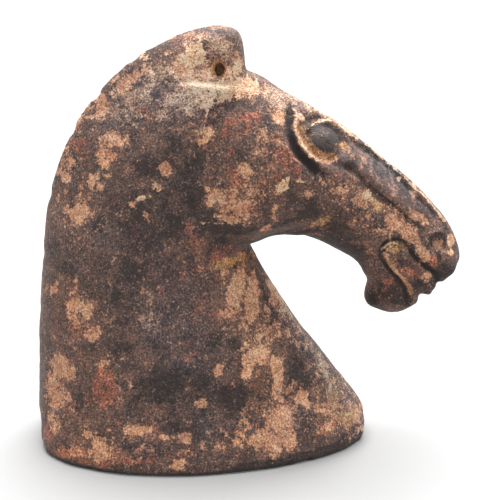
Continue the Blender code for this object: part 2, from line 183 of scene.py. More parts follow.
# Patches of the surface, each (x, z, half length, half height), then its strength where that is not 1,
# and its turn in degrees where it is turned
CLAY_PATCHES = (
    (-46, 242, 9, 3.5, 1, 70), (-61, 227, 9, 3.5, 1, 72), (-63, 220, 4.5, 2.5, 0.9),
    (-76, 210, 2.5, 4, 0.6, 90), (-52, 209, 11, 5, 0.95, 5), (-58, 197, 9, 6.5, 0.8, 60),
    (-86, 182, 6, 4.5, 0.9), (-67, 181, 6, 3.5, 0.9, 85), (-90, 168, 4.5, 2, 0.7, 90),
    (-75, 161, 9, 8, 1, 30), (-57, 188, 5, 2.5, 0.5), (-20, 194, 4.5, 4), (-40, 172, 4, 2, 0.8),
    (-31, 165, 6, 3.5, 0.5), (-93, 111, 6.5, 3.5, 0.8, 80), (-81, 104, 6, 5, 1, -45),
    (-70, 101, 9, 4, 0.8, 80), (-66, 88, 7, 6.5, 0.75), (-90, 60, 10, 9), (-94, 41, 13, 9, 0.9, 90),
    (-95, 23, 9, 6.5, 0.8, 90), (-60, 70, 5, 2, 0.7, 10), (-19, 25, 7, 2.5, 0.8, -12),
    (-65, 15, 9, 7, 0.8, 90), (-81, 11, 8, 6, 0.5), (-12, 9, 6, 4, 0.7), (2, 46, 4.5, 3.5, 0.9),
    (25, 111, 11, 6, 0.95, 80), (37, 70, 12, 6, 1, 8), (51, 56, 15, 4, 0.95, 100), (31, 63, 6.5, 5, 0.8, 90),
    (68, 39, 9, 4, 0.95, -60), (83, 19, 8, 5, 0.55), (54, 26, 16, 13, 0.9, 90), (27, 26, 8, 6, 0.65, 90),
    (13, 65, 4.5, 3.5, 0.8, 90), (59, 14, 9, 4.5, 0.7), (52, 223, 5, 4, 1, -30), (29, 194, 5, 4, 0.95),
    (8, 179, 6.5, 2.5, 0.95, -62), (14, 175, 4.5, 3.5, 0.8), (49, 166, 8, 2.5, 0.85, 85),
    (43, 153, 4.5, 2.5, 0.8, 35), (51, 209, 4.5, 2.5, 0.8, -60), (146, 117, 4.5, 3.5, 0.7, -40),
    (84, 197, 4, 2.5, 0.5, 20), (145, 154, 6, 2.5, 1, -35), (98, 157, 5, 2.5, 0.45, 10),
    (93, 178, 6.5, 4, 0.4, -30), (27, 10, 8, 4, 0.4), (11, 18, 6.5, 4, 0.4), (-71, 170, 25, 16, 0.42, 60),
    (-79, 107, 17, 14, 0.42, 90), (-89, 46, 29, 13, 0.3, 90), (-50, 18, 39, 10, 0.4, -3),
    (41, 87, 39, 16, 0.5, 72), (50, 38, 30, 17, 0.45, 80), (-59, 231, 28, 9, 0.36, 55),
    (-36, 255, 24, 6.5, 0.3, 28), (129, 158, 30, 8, 0.3, -42), (112, 154, 25, 13, 0.36, -35),
    (86, 176, 18, 10, 0.32), (30, 181, 23, 18, 0.3), (45, 211, 20, 17, 0.34), (66, 26, 26, 13, 0.3),
    (87, 27, 17, 9, 0.4, -50), (11, 21, 26, 10, 0.3), (20, 127, 22, 6, 0.4), (147, 117, 4.5, 4.5, 0.8, -40),
    (165, 138, 3.5, 4, 0.7), (27, 94, 9, 14, 0.3, 75), (-86, 195, 10, 20, 0.3, 60),
    (93, 148, 16, 4, 0.3, -30), (25, 169, 16, 10, 0.5, -15), (28, 99, 22, 12, 0.5, 80),
    (85, 33, 21, 13, 0.45, -60), (74, 180, 13, 10, 0.35), (-75, 217, 20, 6.5, 0.4, 65),
    (104, 17, 5, 6.5, 0.9, 60), (100, 16, 9, 6.5, 0.5, -60), (5, 249, 20, 9, 0.6), (10, 175, 9, 6, 0.95, 60),
    (34, 101, 16, 7, 1, 85), (41, 20, 9, 7), (102, 170, 9, 5, 0.75, -30), (140, 157, 9, 3.5, 0.95, -40),
    (-81, 188, 10, 6.5, 0.6, 60), (-40, 247, 10, 5, 0.6, 30), (-6, 254, 9, 6, 0.8),
    (21, 160, 11, 4, 0.75, -10), (-87, 193, 13, 5, 0.5, 70), (22, 257, 6.5, 8, 0.5), (27, 181, 10, 9, 0.35),
    (11, 253, 8, 8, 0.5), (-38, 30, 10, 4, 1, 12), (-8, 24, 5, 3.5, 1, -20), (-72, 23, 3.5, 2.5, 0.9),
    (-61, 14, 5, 6, 0.5), (8, 215, 5, 3.5, 1.1, 80), (5, 210, 3.5, 2.5, 0.8, 30),
)

CREAM_PATCHES = (
    (-34, 258, 4, 2.5, 1, 15), (-33, 253, 3.5, 2.5, 0.7), (-29, 249, 4, 2.5, 0.6), (-5, 259, 9, 6, 0.85),
    (0, 267, 6.5, 3.5, 0.5, 20), (-17, 262, 5, 2.5, 0.5, 25), (26, 253, 6, 3.5, 0.9, 85),
    (31, 242, 9, 5, 1.1, -10), (20, 244, 5, 3.5, 0.7), (11, 238, 6.5, 3.5, 1, 5), (-25, 183, 5, 4, 1, -20),
    (-32, 176, 6.5, 2, 0.8, 15), (54, 184, 8, 4, 0.85, 35), (64, 185, 4, 1, 0.8, -10), (101, 205, 2, 2, 0.8),
    (106, 174, 4.5, 4, 0.9), (129, 179, 1.5, 1.5), (164, 138, 4, 2.5, 1, 90), (164, 131, 3.5, 1.5, 0.9, -20),
    (-47, 238, 3.5, 2.5, 0.4, 60), (-77, 105, 4, 4, 0.5), (51, 220, 2.5, 2.5, 0.5),
    (99, 208, 10, 1.5, 0.4, -33), (24, 240, 16, 8, 0.75, -5), (5, 241, 10, 5, 0.45), (12, 237, 13, 6, 0.9),
    (7, 233, 6, 4.5, 0.7), (109, 8, 4, 6, 0.9, 60), (4, 261, 5, 4.5, 0.8),
)

OCHRE_PATCHES = (
    (18, 129, 15, 3.5, 1, 3), (90, 32, 6, 3.5, 1, 95), (98, 19, 7, 4.5, 1, -50), (77, 157, 10, 2.5, 0.9, 28),
    (94, 202, 4.5, 2.5, 1.1, -10), (114, 167, 7, 3.5, 0.7, -40), (106, 173, 5, 4, 0.6, -30),
    (126, 138, 4.5, 3.5, 1.2, 20), (123, 128, 4.5, 2.5, 0.8, -50), (136, 111, 6.5, 2, 0.8, -65),
    (72, 204, 6.5, 3.5, 0.9, -50), (101, 147, 9, 3.5, 0.4, -20), (122, 153, 8, 3.5, 0.5, -35),
    (111, 135, 5, 4, 0.4), (-5, 257, 6, 4, 0.4), (13, 253, 4.5, 6, 1.3),
)

RED_PATCHES = (
    (33, 224, 9, 4.5, 0.95, -15), (32, 219, 4.5, 4), (19, 221, 4, 3.5, 0.8), (17, 214, 4.5, 4.5, 0.7),
    (25, 169, 14, 9, 1, -15), (-5, 154, 9, 8, 0.7), (-3, 146, 13, 6, 0.8, 90), (0, 129, 6, 5),
    (55, 201, 8, 7, 0.9), (62, 192, 6, 4, 0.8, -40), (-58, 54, 14, 7, 1.1, 85), (-23, 118, 3.5, 3.5, 0.8),
    (-15, 121, 2.5, 2, 0.6), (-39, 155, 4.5, 3.5, 0.6), (-5, 75, 5, 4.5, 0.8), (-9, 84, 4, 2.5, 0.8, 20),
    (-65, 96, 6, 9, 0.5), (-30, 14, 6, 4.5, 0.7), (83, 19, 9, 5, 0.7), (-75, 202, 9, 6.5, 0.7),
    (-32, 227, 6, 5, 0.6), (-92, 1, 10, 4, 0.8, -20), (-51, 10, 16, 4, 0.7, -8), (151, 127, 4, 4, 1.1),
    (121, 112, 8, 6.5, 0.6), (47, 211, 5, 9, 0.5), (94, 144, 14, 4, 0.5, -20), (73, 149, 12, 2.5, 0.7, 5),
    (19, 138, 10, 4, 0.6), (-51, 170, 8, 5, 0.4), (-79, 88, 6, 8, 0.4), (33, 51, 8, 6.5, 0.3),
    (5, 110, 6.5, 9, 0.45), (17, 116, 5, 6.5, 0.4), (156, 130, 2.5, 2.5, 0.8), (59, 43, 5, 6.5, 0.3),
    (-61, 190, 9, 6.5, 0.3), (103, 180, 8, 3.5, 0.3, -40), (5, 206, 5, 4, 0.5), (45, 187, 8, 5, 0.3),
    (89, 186, 6.5, 4, 0.3, -30), (11, 34, 9, 8, 0.3), (-83, 78, 6.5, 5, 0.5), (18, 199, 26, 33, 0.35),
    (-2, 141, 14, 18, 0.5), (-83, 87, 20, 14, 0.4, 90), (-70, 44, 16, 20, 0.4), (-44, 15, 39, 9, 0.4),
    (58, 193, 16, 20, 0.42), (117, 111, 14, 14, 0.5), (84, 146, 26, 9, 0.42, -10), (3, 110, 13, 26, 0.34),
    (30, 42, 20, 20, 0.32), (131, 126, 13, 9, 0.5, -40), (-68, 200, 20, 13, 0.3), (-31, 29, 26, 13, 0.35),
    (110, 144, 20, 10, 0.35, -30), (121, 108, 13, 10, 0.6), (87, 149, 22, 6.5, 0.5, -20),
    (-60, 54, 17, 9, 0.9, 85), (-91, 45, 20, 9, 0.45, 90), (15, 134, 18, 8, 0.6), (-84, 9, 14, 4.5, 0.9, 20),
    (-57, 6, 17, 4, 0.7, 5), (84, 145, 20, 4, 0.7, -15), (-99, 15, 8, 13, 0.6), (43, 14, 13, 6.5, 0.5),
)

DARK_PATCHES = (
    (17, 232, 6.5, 4, 0.9, -20), (11, 225, 6.5, 4.5, 1, 80), (23, 233, 6, 4, 0.7), (33, 231, 6, 4, 0.6, -20),
    (76, 221, 10, 3.5, 0.9, -10), (81, 209, 9, 7, 1.4, -15), (1, 197, 16, 6, 1, 90), (0, 179, 14, 6, 1.1, 90),
    (6, 166, 10, 4, 1, -40), (22, 153, 21, 4, 1.2, -2), (70, 164, 9, 3.5, 1, 8), (93, 194, 9, 4, 0.95, -20),
    (-52, 232, 6, 4.5, 0.9), (-27, 237, 6.5, 4.5, 0.5), (-31, 196, 9, 8, 0.9), (-11, 212, 10, 8, 0.7),
    (-63, 155, 4, 3.5, 0.9), (-83, 126, 9, 5), (-41, 132, 9, 5), (-52, 113, 6, 4, 0.9, 90),
    (-77, 44, 9, 2.5, 0.9, 90), (-21, 59, 16, 13), (-13, 30, 3.5, 2, 1.2, 90), (-39, 49, 6, 3.5, 0.9, 10),
    (48, 97, 17, 4.5, 1, -62), (23, 79, 6.5, 4.5, 1, -30), (64, 56, 11, 6, 1, 100), (22, 48, 15, 11),
    (2, 59, 6.5, 6, 0.9), (39, 45, 4, 3.5, 0.7), (8, 267, 5, 2.5, 0.6, -20), (-53, 239, 3.5, 1.5, 1.2, 60),
    (41, 174, 5, 5, 0.7), (32, 189, 5, 4, 0.5), (59, 174, 9, 5, 0.7, 90), (69, 173, 6.5, 5, 0.7),
    (-10, 190, 8, 8, 0.6), (11, 81, 8, 9, 0.5), (73, 45, 5, 9, 0.5), (80, 59, 6.5, 13, 0.4),
    (96, 8, 9, 4.5, 0.8, 20), (66, 3, 16, 4, 0.8, 8), (33, 3, 13, 3.5, 0.8, 3), (-66, 81, 4, 5, 0.4),
    (-46, 83, 9, 6.5, 0.7), (-30, 84, 8, 6.5, 0.5), (-55, 139, 9, 5, 0.4), (-23, 137, 13, 10, 0.5),
    (-14, 156, 8, 13, 0.7), (-20, 171, 6.5, 5, 0.7), (-97, 134, 4, 13, 0.3), (-63, 46, 4, 6.5, 0.3),
    (96, 163, 12, 6, 0.6, -10), (114, 154, 8, 6, 0.6, -20), (94, 140, 17, 2.5, 0.8, -28),
    (127, 101, 10, 3.5, 0.8, -5), (113, 110, 4, 8, 0.3), (142, 113, 4.5, 4.5, 0.9, -45),
    (130, 128, 6, 4, 0.6, -35), (156, 139, 5, 5, 0.3), (89, 48, 5, 9, 0.3, -60), (-92, 15, 2, 12, 0.3),
    (-65, 192, 4, 2.5, 0.5), (-76, 190, 2.5, 4, 0.5), (2, 164, 6.5, 6.5, 0.9), (15, 145, 6.5, 3.5, 0.5),
    (-20, 131, 30, 30, 0.4), (-4, 187, 39, 18, 0.5, 90), (-30, 55, 39, 26, 0.42), (19, 46, 26, 22, 0.46),
    (-43, 215, 26, 18, 0.3, 40), (-16, 156, 20, 20, 0.48), (61, 76, 39, 12, 0.5, -62),
    (-54, 130, 20, 20, 0.4), (-51, 89, 16, 16, 0.4), (22, 156, 30, 10, 0.55), (97, 138, 20, 6.5, 0.5, -28),
    (123, 107, 16, 10, 0.36), (-89, 136, 9, 17, 0.3), (79, 46, 14, 22, 0.3, -60), (-32, 159, 24, 22, 0.7),
    (93, 148, 20, 5, 0.4, -25), (160, 121, 9, 6, 0.9, 10), (-68, 135, 14, 13, 0.3),
    (90, 151, 16, 6, 0.9, -25), (123, 106, 14, 9, 0.55), (94, 140, 13, 4, 0.9, -28), (41, 166, 9, 6.5, 0.4),
    (112, 97, 4.5, 8), (-33, 128, 20, 22, 0.4), (116, 92, 8, 4, 0.8), (168, 121, 4, 8),
)

# Grey film, and painted sheen: along the front edge of the neck, the top of the head and the top of the nose
# these patches paint a sheen of light on the dark skin
GREY_FILM_AND_PAINTED_SHEEN_PATCHES = (
    (-7, 240, 16, 13, 0.9), (11, 270, 16, 6.5, 0.8), (-20, 252, 9, 6.5, 0.6, 20), (52, 233, 17, 6, 0.9, -22),
    (119, 179, 17, 2.5, 0.7, -41), (132, 160, 9, 2, 0.7, -41), (-32, 106, 14, 10, 0.55, 90),
    (-50, 53, 9, 4.5, 0.6, 90), (-43, 58, 2.5, 2.5, 0.8), (2, 217, 8, 8, 0.5), (-23, 229, 9, 9, 0.4),
    (40, 215, 8, 5, 0.5), (38, 204, 9, 6.5, 0.4), (155, 137, 4, 4.5, 0.7), (6, 172, 5, 5, 0.4),
    (138, 170, 4, 2, 0.8, -50), (20, 89, 6.5, 9, 0.3), (76, 57, 2.5, 10, 0.5, -60),
    (108, 12, 2, 6.5, 0.7, -60), (-5, 98, 8, 9, 0.3), (93, 16, 5, 4, 0.4), (-11, 225, 9, 5, 0.5),
    (164, 146, 2.5, 4, 0.5), (2, 259, 33, 22, 0.42, 10), (-10, 235, 26, 20, 0.48), (55, 230, 33, 9, 0.6, -28),
    (116, 182, 33, 6, 0.36, -41), (40, 205, 20, 13, 0.3), (61, 82, 6.5, 26, 0.35, -60),
    (21, 270, 20, 12, 0.4), (11, 269, 20, 9, 0.7), (-29, 248, 16, 8, 0.6, 30), (-42, 233, 21, 13, 0.7, 40),
    (54, 96, 18, 6, 0.85, -62), (68, 74, 18, 5, 0.75, -58), (81, 54, 18, 4.5, 0.75, -58),
    (97, 30, 12, 3.5, 0.7, -55), (42, 237, 17, 8, 0.5, -20), (84, 219, 17, 3.5, 0.5, -35),
    (-10, 236, 17, 10, 0.9), (5, 271, 22, 8, 0.7, 10), (18, 261, 12, 8, 0.5), (85, 33, 20, 10, 0.4, -60),
    (-17, 249, 13, 8, 0.6, 20), (2, 235, 17, 6.5, 0.6), (71, 226, 20, 4.5, 0.8, -30),
    (119, 183, 29, 6, 0.55, -41), (154, 135, 3.5, 3.5, 0.7),
)

# Lighter (above 0) and darker (below 0) tone: partly the clay's own and partly painted light, with painted
# shade along the underside of the jaw and a painted highlight along the top edge of the nose
TONE_AND_PAINTED_LIGHT_PATCHES = (
    (14, 249, 16, 12, 0.16), (-1, 214, 10, 16, 0.12), (5, 183, 8, 10, 0.12), (40, 186, 8, 10, 0.13),
    (27, 173, 18, 6.5, 0.07), (106, 174, 30, 6, 0.1, -38), (143, 152, 9, 5, 0.12, -30),
    (23, 115, 20, 10, 0.08), (45, 78, 16, 22, 0.13, -60), (53, 69, 9, 10, 0.08), (-50, 64, 18, 12, 0.1),
    (94, 18, 13, 6.5, 0.1, -40), (-60, 213, 10, 10, 0.12), (7, 26, 16, 6, -0.15), (-35, 19, 14, 5, -0.17),
    (68, 214, 6, 12, -0.15), (119, 187, 16, 4.5, -0.24, -40), (65, 194, 9, 6, -0.08),
    (-56, 148, 10, 9, -0.08), (-95, 37, 6.5, 10, -0.08), (-82, 161, 8, 4.5, -0.08),
    (-45, 232, 13, 4.5, -0.1, 30), (112, 97, 7, 7, -0.25), (81, 142, 29, 4, -0.18, -18),
    (22, 140, 22, 4, -0.1, -4), (-5, 72, 6.5, 10, -0.1), (168, 124, 4, 10, -0.14), (167, 140, 4, 6.5, -0.12),
    (98, 128, 9, 4, -0.1, -30), (13, 253, 4, 5, -0.08), (88, 217, 6.5, 4, 0.24, -30),
    (146, 167, 8, 4, 0.12, -50), (76, 223, 8, 4, 0.12, -30), (35, 139, 10, 4, -0.1),
    (43, 140, 10, 3.5, -0.1, 15), (77, 141, 20, 3.5, -0.12, -15), (70, 71, 5, 5, -0.12),
    (0, 236, 29, 16, 0.07), (40, 245, 4, 8, 0.1), (-15, 258, 12, 9, 0.1, 20), (-57, 240, 10, 6.5, 0.1, 45),
    (17, 276, 12, 3.5, -0.1), (36, 54, 8, 10, 0.08), (-107, 0, 4, 8, 0.12), (-94, 0, 6.5, 3.5, -0.15, -30),
    (64, 206, 8, 3.5, 0.1, -60), (169, 120, 3.5, 8, -0.1), (98, 128, 8, 3.5, -0.1, -30), (28, 264, 4, 8, 0.1),
    (64, 208, 4, 10, 0.12, -10), (81, 209, 9, 7, -0.08, -15), (154, 136, 5, 5, -0.1), (107, 183, 5, 4, 0.1),
    (11, 170, 9, 10, 0.08), (-38, 86, 8, 8, 0.1), (108, 0, 4, 4, 0.1), (-99, 63, 4, 8, -0.1),
    (23, 190, 6.5, 6.5, 0.08), (118, 173, 6.5, 4, 0.1, -40), (25, 249, 5, 5, 0.08),
    (119, 182, 26, 6, -0.07, -41), (12, 254, 5, 6, 0.1), (145, 168, 6.5, 3.5, 0.14, -50),
    (115, 188, 6.5, 3.5, -0.1, -40), (129, 166, 6.5, 3.5, 0.08, -40), (28, 105, 9, 8, 0.08),
    (11, 186, 6.5, 6.5, 0.08), (9, 212, 4, 6, 0.1), (-5, 273, 9, 3.5, -0.08, 20), (41, 103, 5, 5, 0.07),
)

# Warmer (above 0) and cooler (below 0) casts; the cooler ones along the front edge of the neck and the top of
# the nose go with the painted sheen there
WARMTH_PATCHES = (
    (-20, 237, 31, 18, -0.75), (5, 229, 14, 12, -0.25), (-55, 218, 17, 13, -0.35),
    (62, 229, 25, 7, -0.75, -32), (11, 260, 21, 18, -0.4), (-17, 94, 24, 33, -0.4), (-27, 95, 9, 9, -0.3),
    (-5, 70, 10, 9, -0.4), (79, 60, 62, 9, -0.7, -60), (126, 183, 20, 6, -0.5, -42), (148, 157, 9, 6, -0.3),
    (-56, 150, 10, 10, -0.35), (-58, 183, 9, 6.5, -0.3), (9, 27, 9, 10, -0.45), (-39, 17, 14, 6, -0.45),
    (60, 30, 7, 9, -0.4), (45, 183, 10, 18, 0.35), (88, 202, 16, 7, 0.4, -30), (68, 217, 8, 9, 0.25),
    (84, 160, 21, 13, 0.3, -30), (127, 109, 14, 10, 0.35), (163, 130, 7, 11, 0.3), (33, 125, 16, 9, 0.4),
    (37, 52, 13, 18, 0.45), (6, 208, 9, 10, 0.35), (-70, 191, 11, 9, 0.3), (-88, 105, 14, 24, 0.25),
    (-68, 20, 30, 17, 0.35), (21, 18, 21, 7, 0.3), (13, 253, 4.5, 6.5, 0.9), (119, 183, 33, 6.5, -0.4, -41),
    (2, 260, 10, 8, 0.35),
)

CALM_PATCHES = (
    (124, 179, 34, 10, 1, -40), (81, 209, 9, 7, 1, -15), (154, 136, 5, 5), (89, 194, 10, 6.5, 0.6),
    (21, 171, 17, 10, 0.5),
)

# Lines of the surface, each (points, half width, strength)
CREAM_LINES = (
    # the ledge under the ear: cream crust, partly a painted highlight where it faces up
    (((-4, 245), (4, 244), (11, 243), (19, 242)), 1.5, 1.3),
    (((62, 223), (62, 216), (64, 210), (68, 204), (74, 198), (81, 197)), 1.3, 0.8),
    (((72, 216), (76, 217), (80, 217), (86, 217), (89, 214)), 0.7, 0.7),
    (((60, 228), (62, 224), (66, 220)), 0.8, 0.8),
    (((11, 235), (9, 233), (6, 224)), 0.8, 0.8),
    (((-2, 204), (0, 200), (1, 201)), 0.8, 0.8),
    (((117, 137), (120, 139), (123, 143), (123, 147)), 0.8, 0.8),
    # a painted highlight along the top edge of the nose
    (((87, 217), (102, 205), (117, 193), (129, 183), (150, 162), (160, 150)), 0.9, 0.75),
    (((2, 158), (9, 157), (17, 157)), 0.6, 0.6),
)

DARK_LINES = (
    (((59, 227), (58, 220), (58, 213), (62, 204), (70, 196), (77, 187)), 2.8, 1.3),
    (((103, 202), (116, 192), (128, 181)), 1.8, 1),
    (((131, 177), (136, 172), (146, 162), (152, 155)), 1.8, 1),
    (((103, 182), (115, 172), (129, 161), (144, 148)), 1.8, 1.2),
    (((117, 136), (118, 139), (122, 142), (127, 144), (131, 142), (135, 137), (141, 129), (146, 125),
      (152, 119)), 1.7, 1.4),
    (((117, 136), (119, 130), (124, 123), (130, 115), (134, 107), (136, 98)), 2, 1.3),
    (((150, 136), (149, 141), (152, 143), (157, 142), (161, 145)), 1.5, 1.2),
    (((151, 134), (154, 132), (156, 127)), 1.7, 1.1),
    (((159, 139), (160, 135)), 0.8, 0.9),
    (((68, 149), (79, 150), (91, 142), (106, 127)), 2, 0.9),
    (((75, 203), (79, 199), (85, 197)), 1.1, 0.6),
    (((25, 4), (46, 3), (66, 4), (86, 5), (102, 6), (108, 9)), 3.2, 1.5),
    (((-99, 1), (-83, 1), (-57, 0)), 1.4, 0.7),
    (((0, 236), (-4, 218), (-6, 199)), 3.5, 0.25),
    (((43, 153), (65, 161), (78, 165)), 1.8, 0.7),
    # painted shadow under the ledge below the ear
    (((-3, 242), (7, 241), (18, 239)), 0.8, 0.9),
    # painted shade along the underside of the jaw
    (((33, 132), (38, 140), (65, 145), (79, 141), (95, 132), (106, 120)), 2.4, 1.2),
)

CLAY_LINES = (
    (((122, 156), (129, 151), (134, 146), (140, 139), (146, 131)), 3.5, 1.1),
    (((119, 134), (122, 128), (127, 122), (132, 117), (136, 111), (138, 106)), 1.7, 1),
    (((62, 222), (62, 216), (65, 210), (69, 204), (75, 199), (82, 196)), 2.1, 1),
)

OCHRE_LINES = (
    (((65, 215), (67, 209), (72, 204), (77, 200), (84, 199)), 3.1, 1.1),
    (((122, 137), (125, 141), (130, 140), (134, 136)), 2.1, 1),
)

RED_LINES = (
    (((128, 131), (134, 124), (141, 117)), 2.8, 0.9),
    (((75, 195), (83, 185), (93, 175)), 2.1, 0.3),
)


def ramp(values, start, length):
    """0 up to the start, then rising evenly to 1 over the length."""
    return np.clip((values - start) / length, 0, 1)


def smooth_values(pairs, places):
    """A curve through (place, value) pairs that never overshoots them, read at places."""
    x, y = np.array(pairs, float).T
    step, slope = np.diff(x), np.diff(y) / np.diff(x)
    same_way = slope[:-1] * slope[1:] > 0
    harmonic = 2 * slope[:-1] * slope[1:] / np.where(same_way, slope[:-1] + slope[1:], 1)
    tangent = np.concatenate([slope[:1], np.where(same_way, harmonic, 0), slope[-1:]])
    k = np.clip(np.searchsorted(x, places) - 1, 0, len(step) - 1)
    u = ramp(places, x[k], step[k])
    return (
        y[k] * (1 + 2 * u) * (1 - u) ** 2
        + y[k + 1] * u * u * (3 - 2 * u)
        + step[k] * (tangent[k] * u * (1 - u) ** 2 - tangent[k + 1] * u * u * (1 - u))
    )


def smooth_path(points, shares):
    """A curve through points of the plane, read at shares 0 to 1 of the way by number of points."""
    points = np.array(points, float)
    padded = np.vstack([2 * points[0] - points[1], points, 2 * points[-1] - points[-2]])
    along = np.asarray(shares) * (len(points) - 1)
    k = np.clip(along.astype(int), 0, len(points) - 2)
    u = (along - k)[:, None]
    a, b, c, d = (padded[k + i] for i in range(4))
    return 0.5 * (
        2 * b + (c - a) * u + (2 * a - 5 * b + 4 * c - d) * u**2 + (3 * b - a - 3 * c + d) * u**3
    )


def ring(start, end, half_width):
    """A closed section between two points of the mirror plane, with half_width read along it."""
    share = (1 - np.cos(np.linspace(0, math.pi, SECTION_POINTS))) / 2
    way = np.outer(1 - share, start) + np.outer(share, end)
    side = half_width(share)
    right = np.column_stack([way[:, 0], -side, way[:, 1]])
    left = np.column_stack([way[:, 0], side, way[:, 1]])[-2:0:-1]
    return np.vstack([right, left]) * UNIT


def loft(shape, rings):
    """Adds a closed body with its skin stretched over the rings."""
    rows = [[shape.verts.new(point) for point in points] for points in rings]
    for row, after in zip(rows, rows[1:]):
        for i in range(len(row)):
            j = (i + 1) % len(row)
            shape.faces.new((row[i], row[j], after[j], after[i]))
    shape.faces.new(rows[0][::-1])
    shape.faces.new(rows[-1])


def neck_rings():
    """Level sections from under the foot to the top of the forelock, closer where the top rounds over."""
    rise = np.sin(np.linspace(0, math.pi / 2, SECTIONS))
    levels = UNDERCUT + (DRAWN_HEIGHT - UNDERCUT) * rise
    back, front = smooth_values(NECK_BACK, levels), smooth_values(NECK_FRONT, levels)
    widths = smooth_values(NECK_HALF_WIDTH, levels)
    skews = math.log(0.5) / np.log(smooth_values(NECK_FULLEST, levels))
    bluntness = smooth_values(NECK_BLUNTNESS, levels)
    for level, x0, x1, width, skew, blunt in zip(levels, back, front, widths, skews, bluntness):

        def half_width(share, width=width, skew=skew, blunt=blunt):
            return width * np.sin(math.pi * share**skew).clip(0) ** blunt

        yield ring((x0, level), (x1, level), half_width)


def head_rings():
    """Sections from the poll to the tip of the upper lip, each from the nose bone down to the jaw."""
    along = np.linspace(0, 1, SECTIONS)
    tops, bottoms = smooth_path(HEAD_TOP, along), smooth_path(HEAD_BOTTOM, along)
    profiles = [smooth_values(line, along) for line in (HEAD_CREST, HEAD_BROW, HEAD_CHEEK, HEAD_JAW)]
    tips = ramp(along, TIP_FROM, 1 - TIP_FROM) ** 2
    for top, bottom, crest, brow, cheek, jaw, tip in zip(tops, bottoms, *profiles, tips):

        def half_width(share, crest=crest, brow=brow, cheek=cheek, jaw=jaw, tip=tip):
            widths = ((CREST_AT, crest), (BROW_AT, brow), (CHEEK_AT, cheek), (JAW_AT, jaw))
            side = smooth_values(widths, share)
            top_end = TOP_ROUNDING + (TIP_ROUNDING - TOP_ROUNDING) * tip
            jaw_end = JAW_ROUNDING + (TIP_ROUNDING - JAW_ROUNDING) * tip
            over_top = np.sqrt(1 - (1 - ramp(share, 0, top_end)) ** 2)
            under_jaw = np.sqrt(1 - (1 - ramp(1 - share, 0, jaw_end)) ** 2)
            return side * over_top * under_jaw * math.sqrt(1 - (1 - TIP_WIDTH**2) * tip)

        yield ring(top, bottom, half_width)


def along_stroke(places, points):
    """For each place: its distance from a stroke, how far along it is (0 to 1), and its side of it."""
    line = smooth_path(points, np.linspace(0, 1, 8 * (len(points) - 1) + 1))
    starts, steps = line[:-1], np.diff(line, axis=0)
    lengths = np.linalg.norm(steps, axis=1)
    reached = np.concatenate([[0], np.cumsum(lengths)])
    best = np.full(len(places), np.inf)
    share, side = np.zeros(len(places)), np.zeros(len(places))
    for start, step, length, done in zip(starts, steps, lengths, reached):
        offset = places - start
        u = np.clip(offset @ step / length**2, 0, 1)
        gap = offset - u[:, None] * step
        distance = np.hypot(gap[:, 0], gap[:, 1])
        nearer = distance < best
        best = np.where(nearer, distance, best)
        share = np.where(nearer, (done + u * length) / reached[-1], share)
        side = np.where(nearer, np.sign(step[0] * gap[:, 1] - step[1] * gap[:, 0]), side)
    return best, share, side


def near_line(places, points, reach):
    """The places in the box around a line, grown by its reach."""
    corners = np.array(points, float)
    inside = (places > corners.min(0) - reach) & (places < corners.max(0) + reach)
    return np.flatnonzero(inside.all(axis=1))


def bump_of(distance, reach):
    """A soft hump, 1 on the line and 0 at its reach."""
    return (1 - np.clip(distance / reach, 0, 1) ** 2) ** 2


def fade(share, start, end):
    """1 along a stroke, falling to 0 over its first and last shares."""
    rise, fall = ramp(share, 0, start), ramp(1 - share, 0, end)
    return rise * (2 - rise) * fall * (2 - fall)


def groove(places, points, reach, depth, start=0.15, end=0.15, opens=1):
    """A groove, or a ridge where the depth is below nothing, whose reach grows to opens times itself."""
    relief = np.zeros(len(places))
    near = near_line(places, points, reach * opens + 3)
    distance, share, _ = along_stroke(places[near], points)
    shape = bump_of(distance, reach * (1 + (opens - 1) * share)) * fade(share, start, end)
    relief[near] = -depth * shape
    return relief


def step_up(places, points, rise, edge, before, after, start, end):
    """The right side of a stroke stands up by rise, an edge away from the line, and dies out over
    after. The left side sinks as much and comes back over before."""
    distance, share, side = along_stroke(places, points)
    rising, beyond = ramp(distance, 0, edge), np.maximum(distance - edge, 0)
    high = np.where(side < 0, rising * bump_of(beyond, after), 0)
    low = np.where(side > 0, rising * bump_of(beyond, before), 0)
    return rise * (high - low) * fade(share, start, end)


def oval(places, centre, half_length, half_height, turn):
    """Distance from the centre of an oval turned by so many degrees, 1 on its edge."""
    offset = places - np.array(centre)
    cos, sin = math.cos(math.radians(turn)), math.sin(math.radians(turn))
    along = offset[:, 0] * cos + offset[:, 1] * sin
    across = offset[:, 1] * cos - offset[:, 0] * sin
    return np.hypot(along / half_length, across / half_height)


def cheek_and_poll(places):
    """The rear rim of the cheek over a hollow of the neck, the poll's shelf and the jaw bone."""
    return (
        step_up(places, CHEEK_RIM, rise=1.8, edge=4.5, before=24, after=20, start=0.45, end=0.15)
        + step_up(places, POLL_SHELF, rise=1.5, edge=0.9, before=4, after=6, start=0.3, end=0.3)
        + groove(places, THROAT_CREASE, reach=4.5, depth=1.8, start=0.5, end=0.2)
        + groove(places, JAW_HOLLOW, reach=6, depth=1.2, start=0.3, end=0.4)
        + groove(places, JAW_EDGE, reach=5, depth=-1.2, start=0.3, end=0.3)
    )


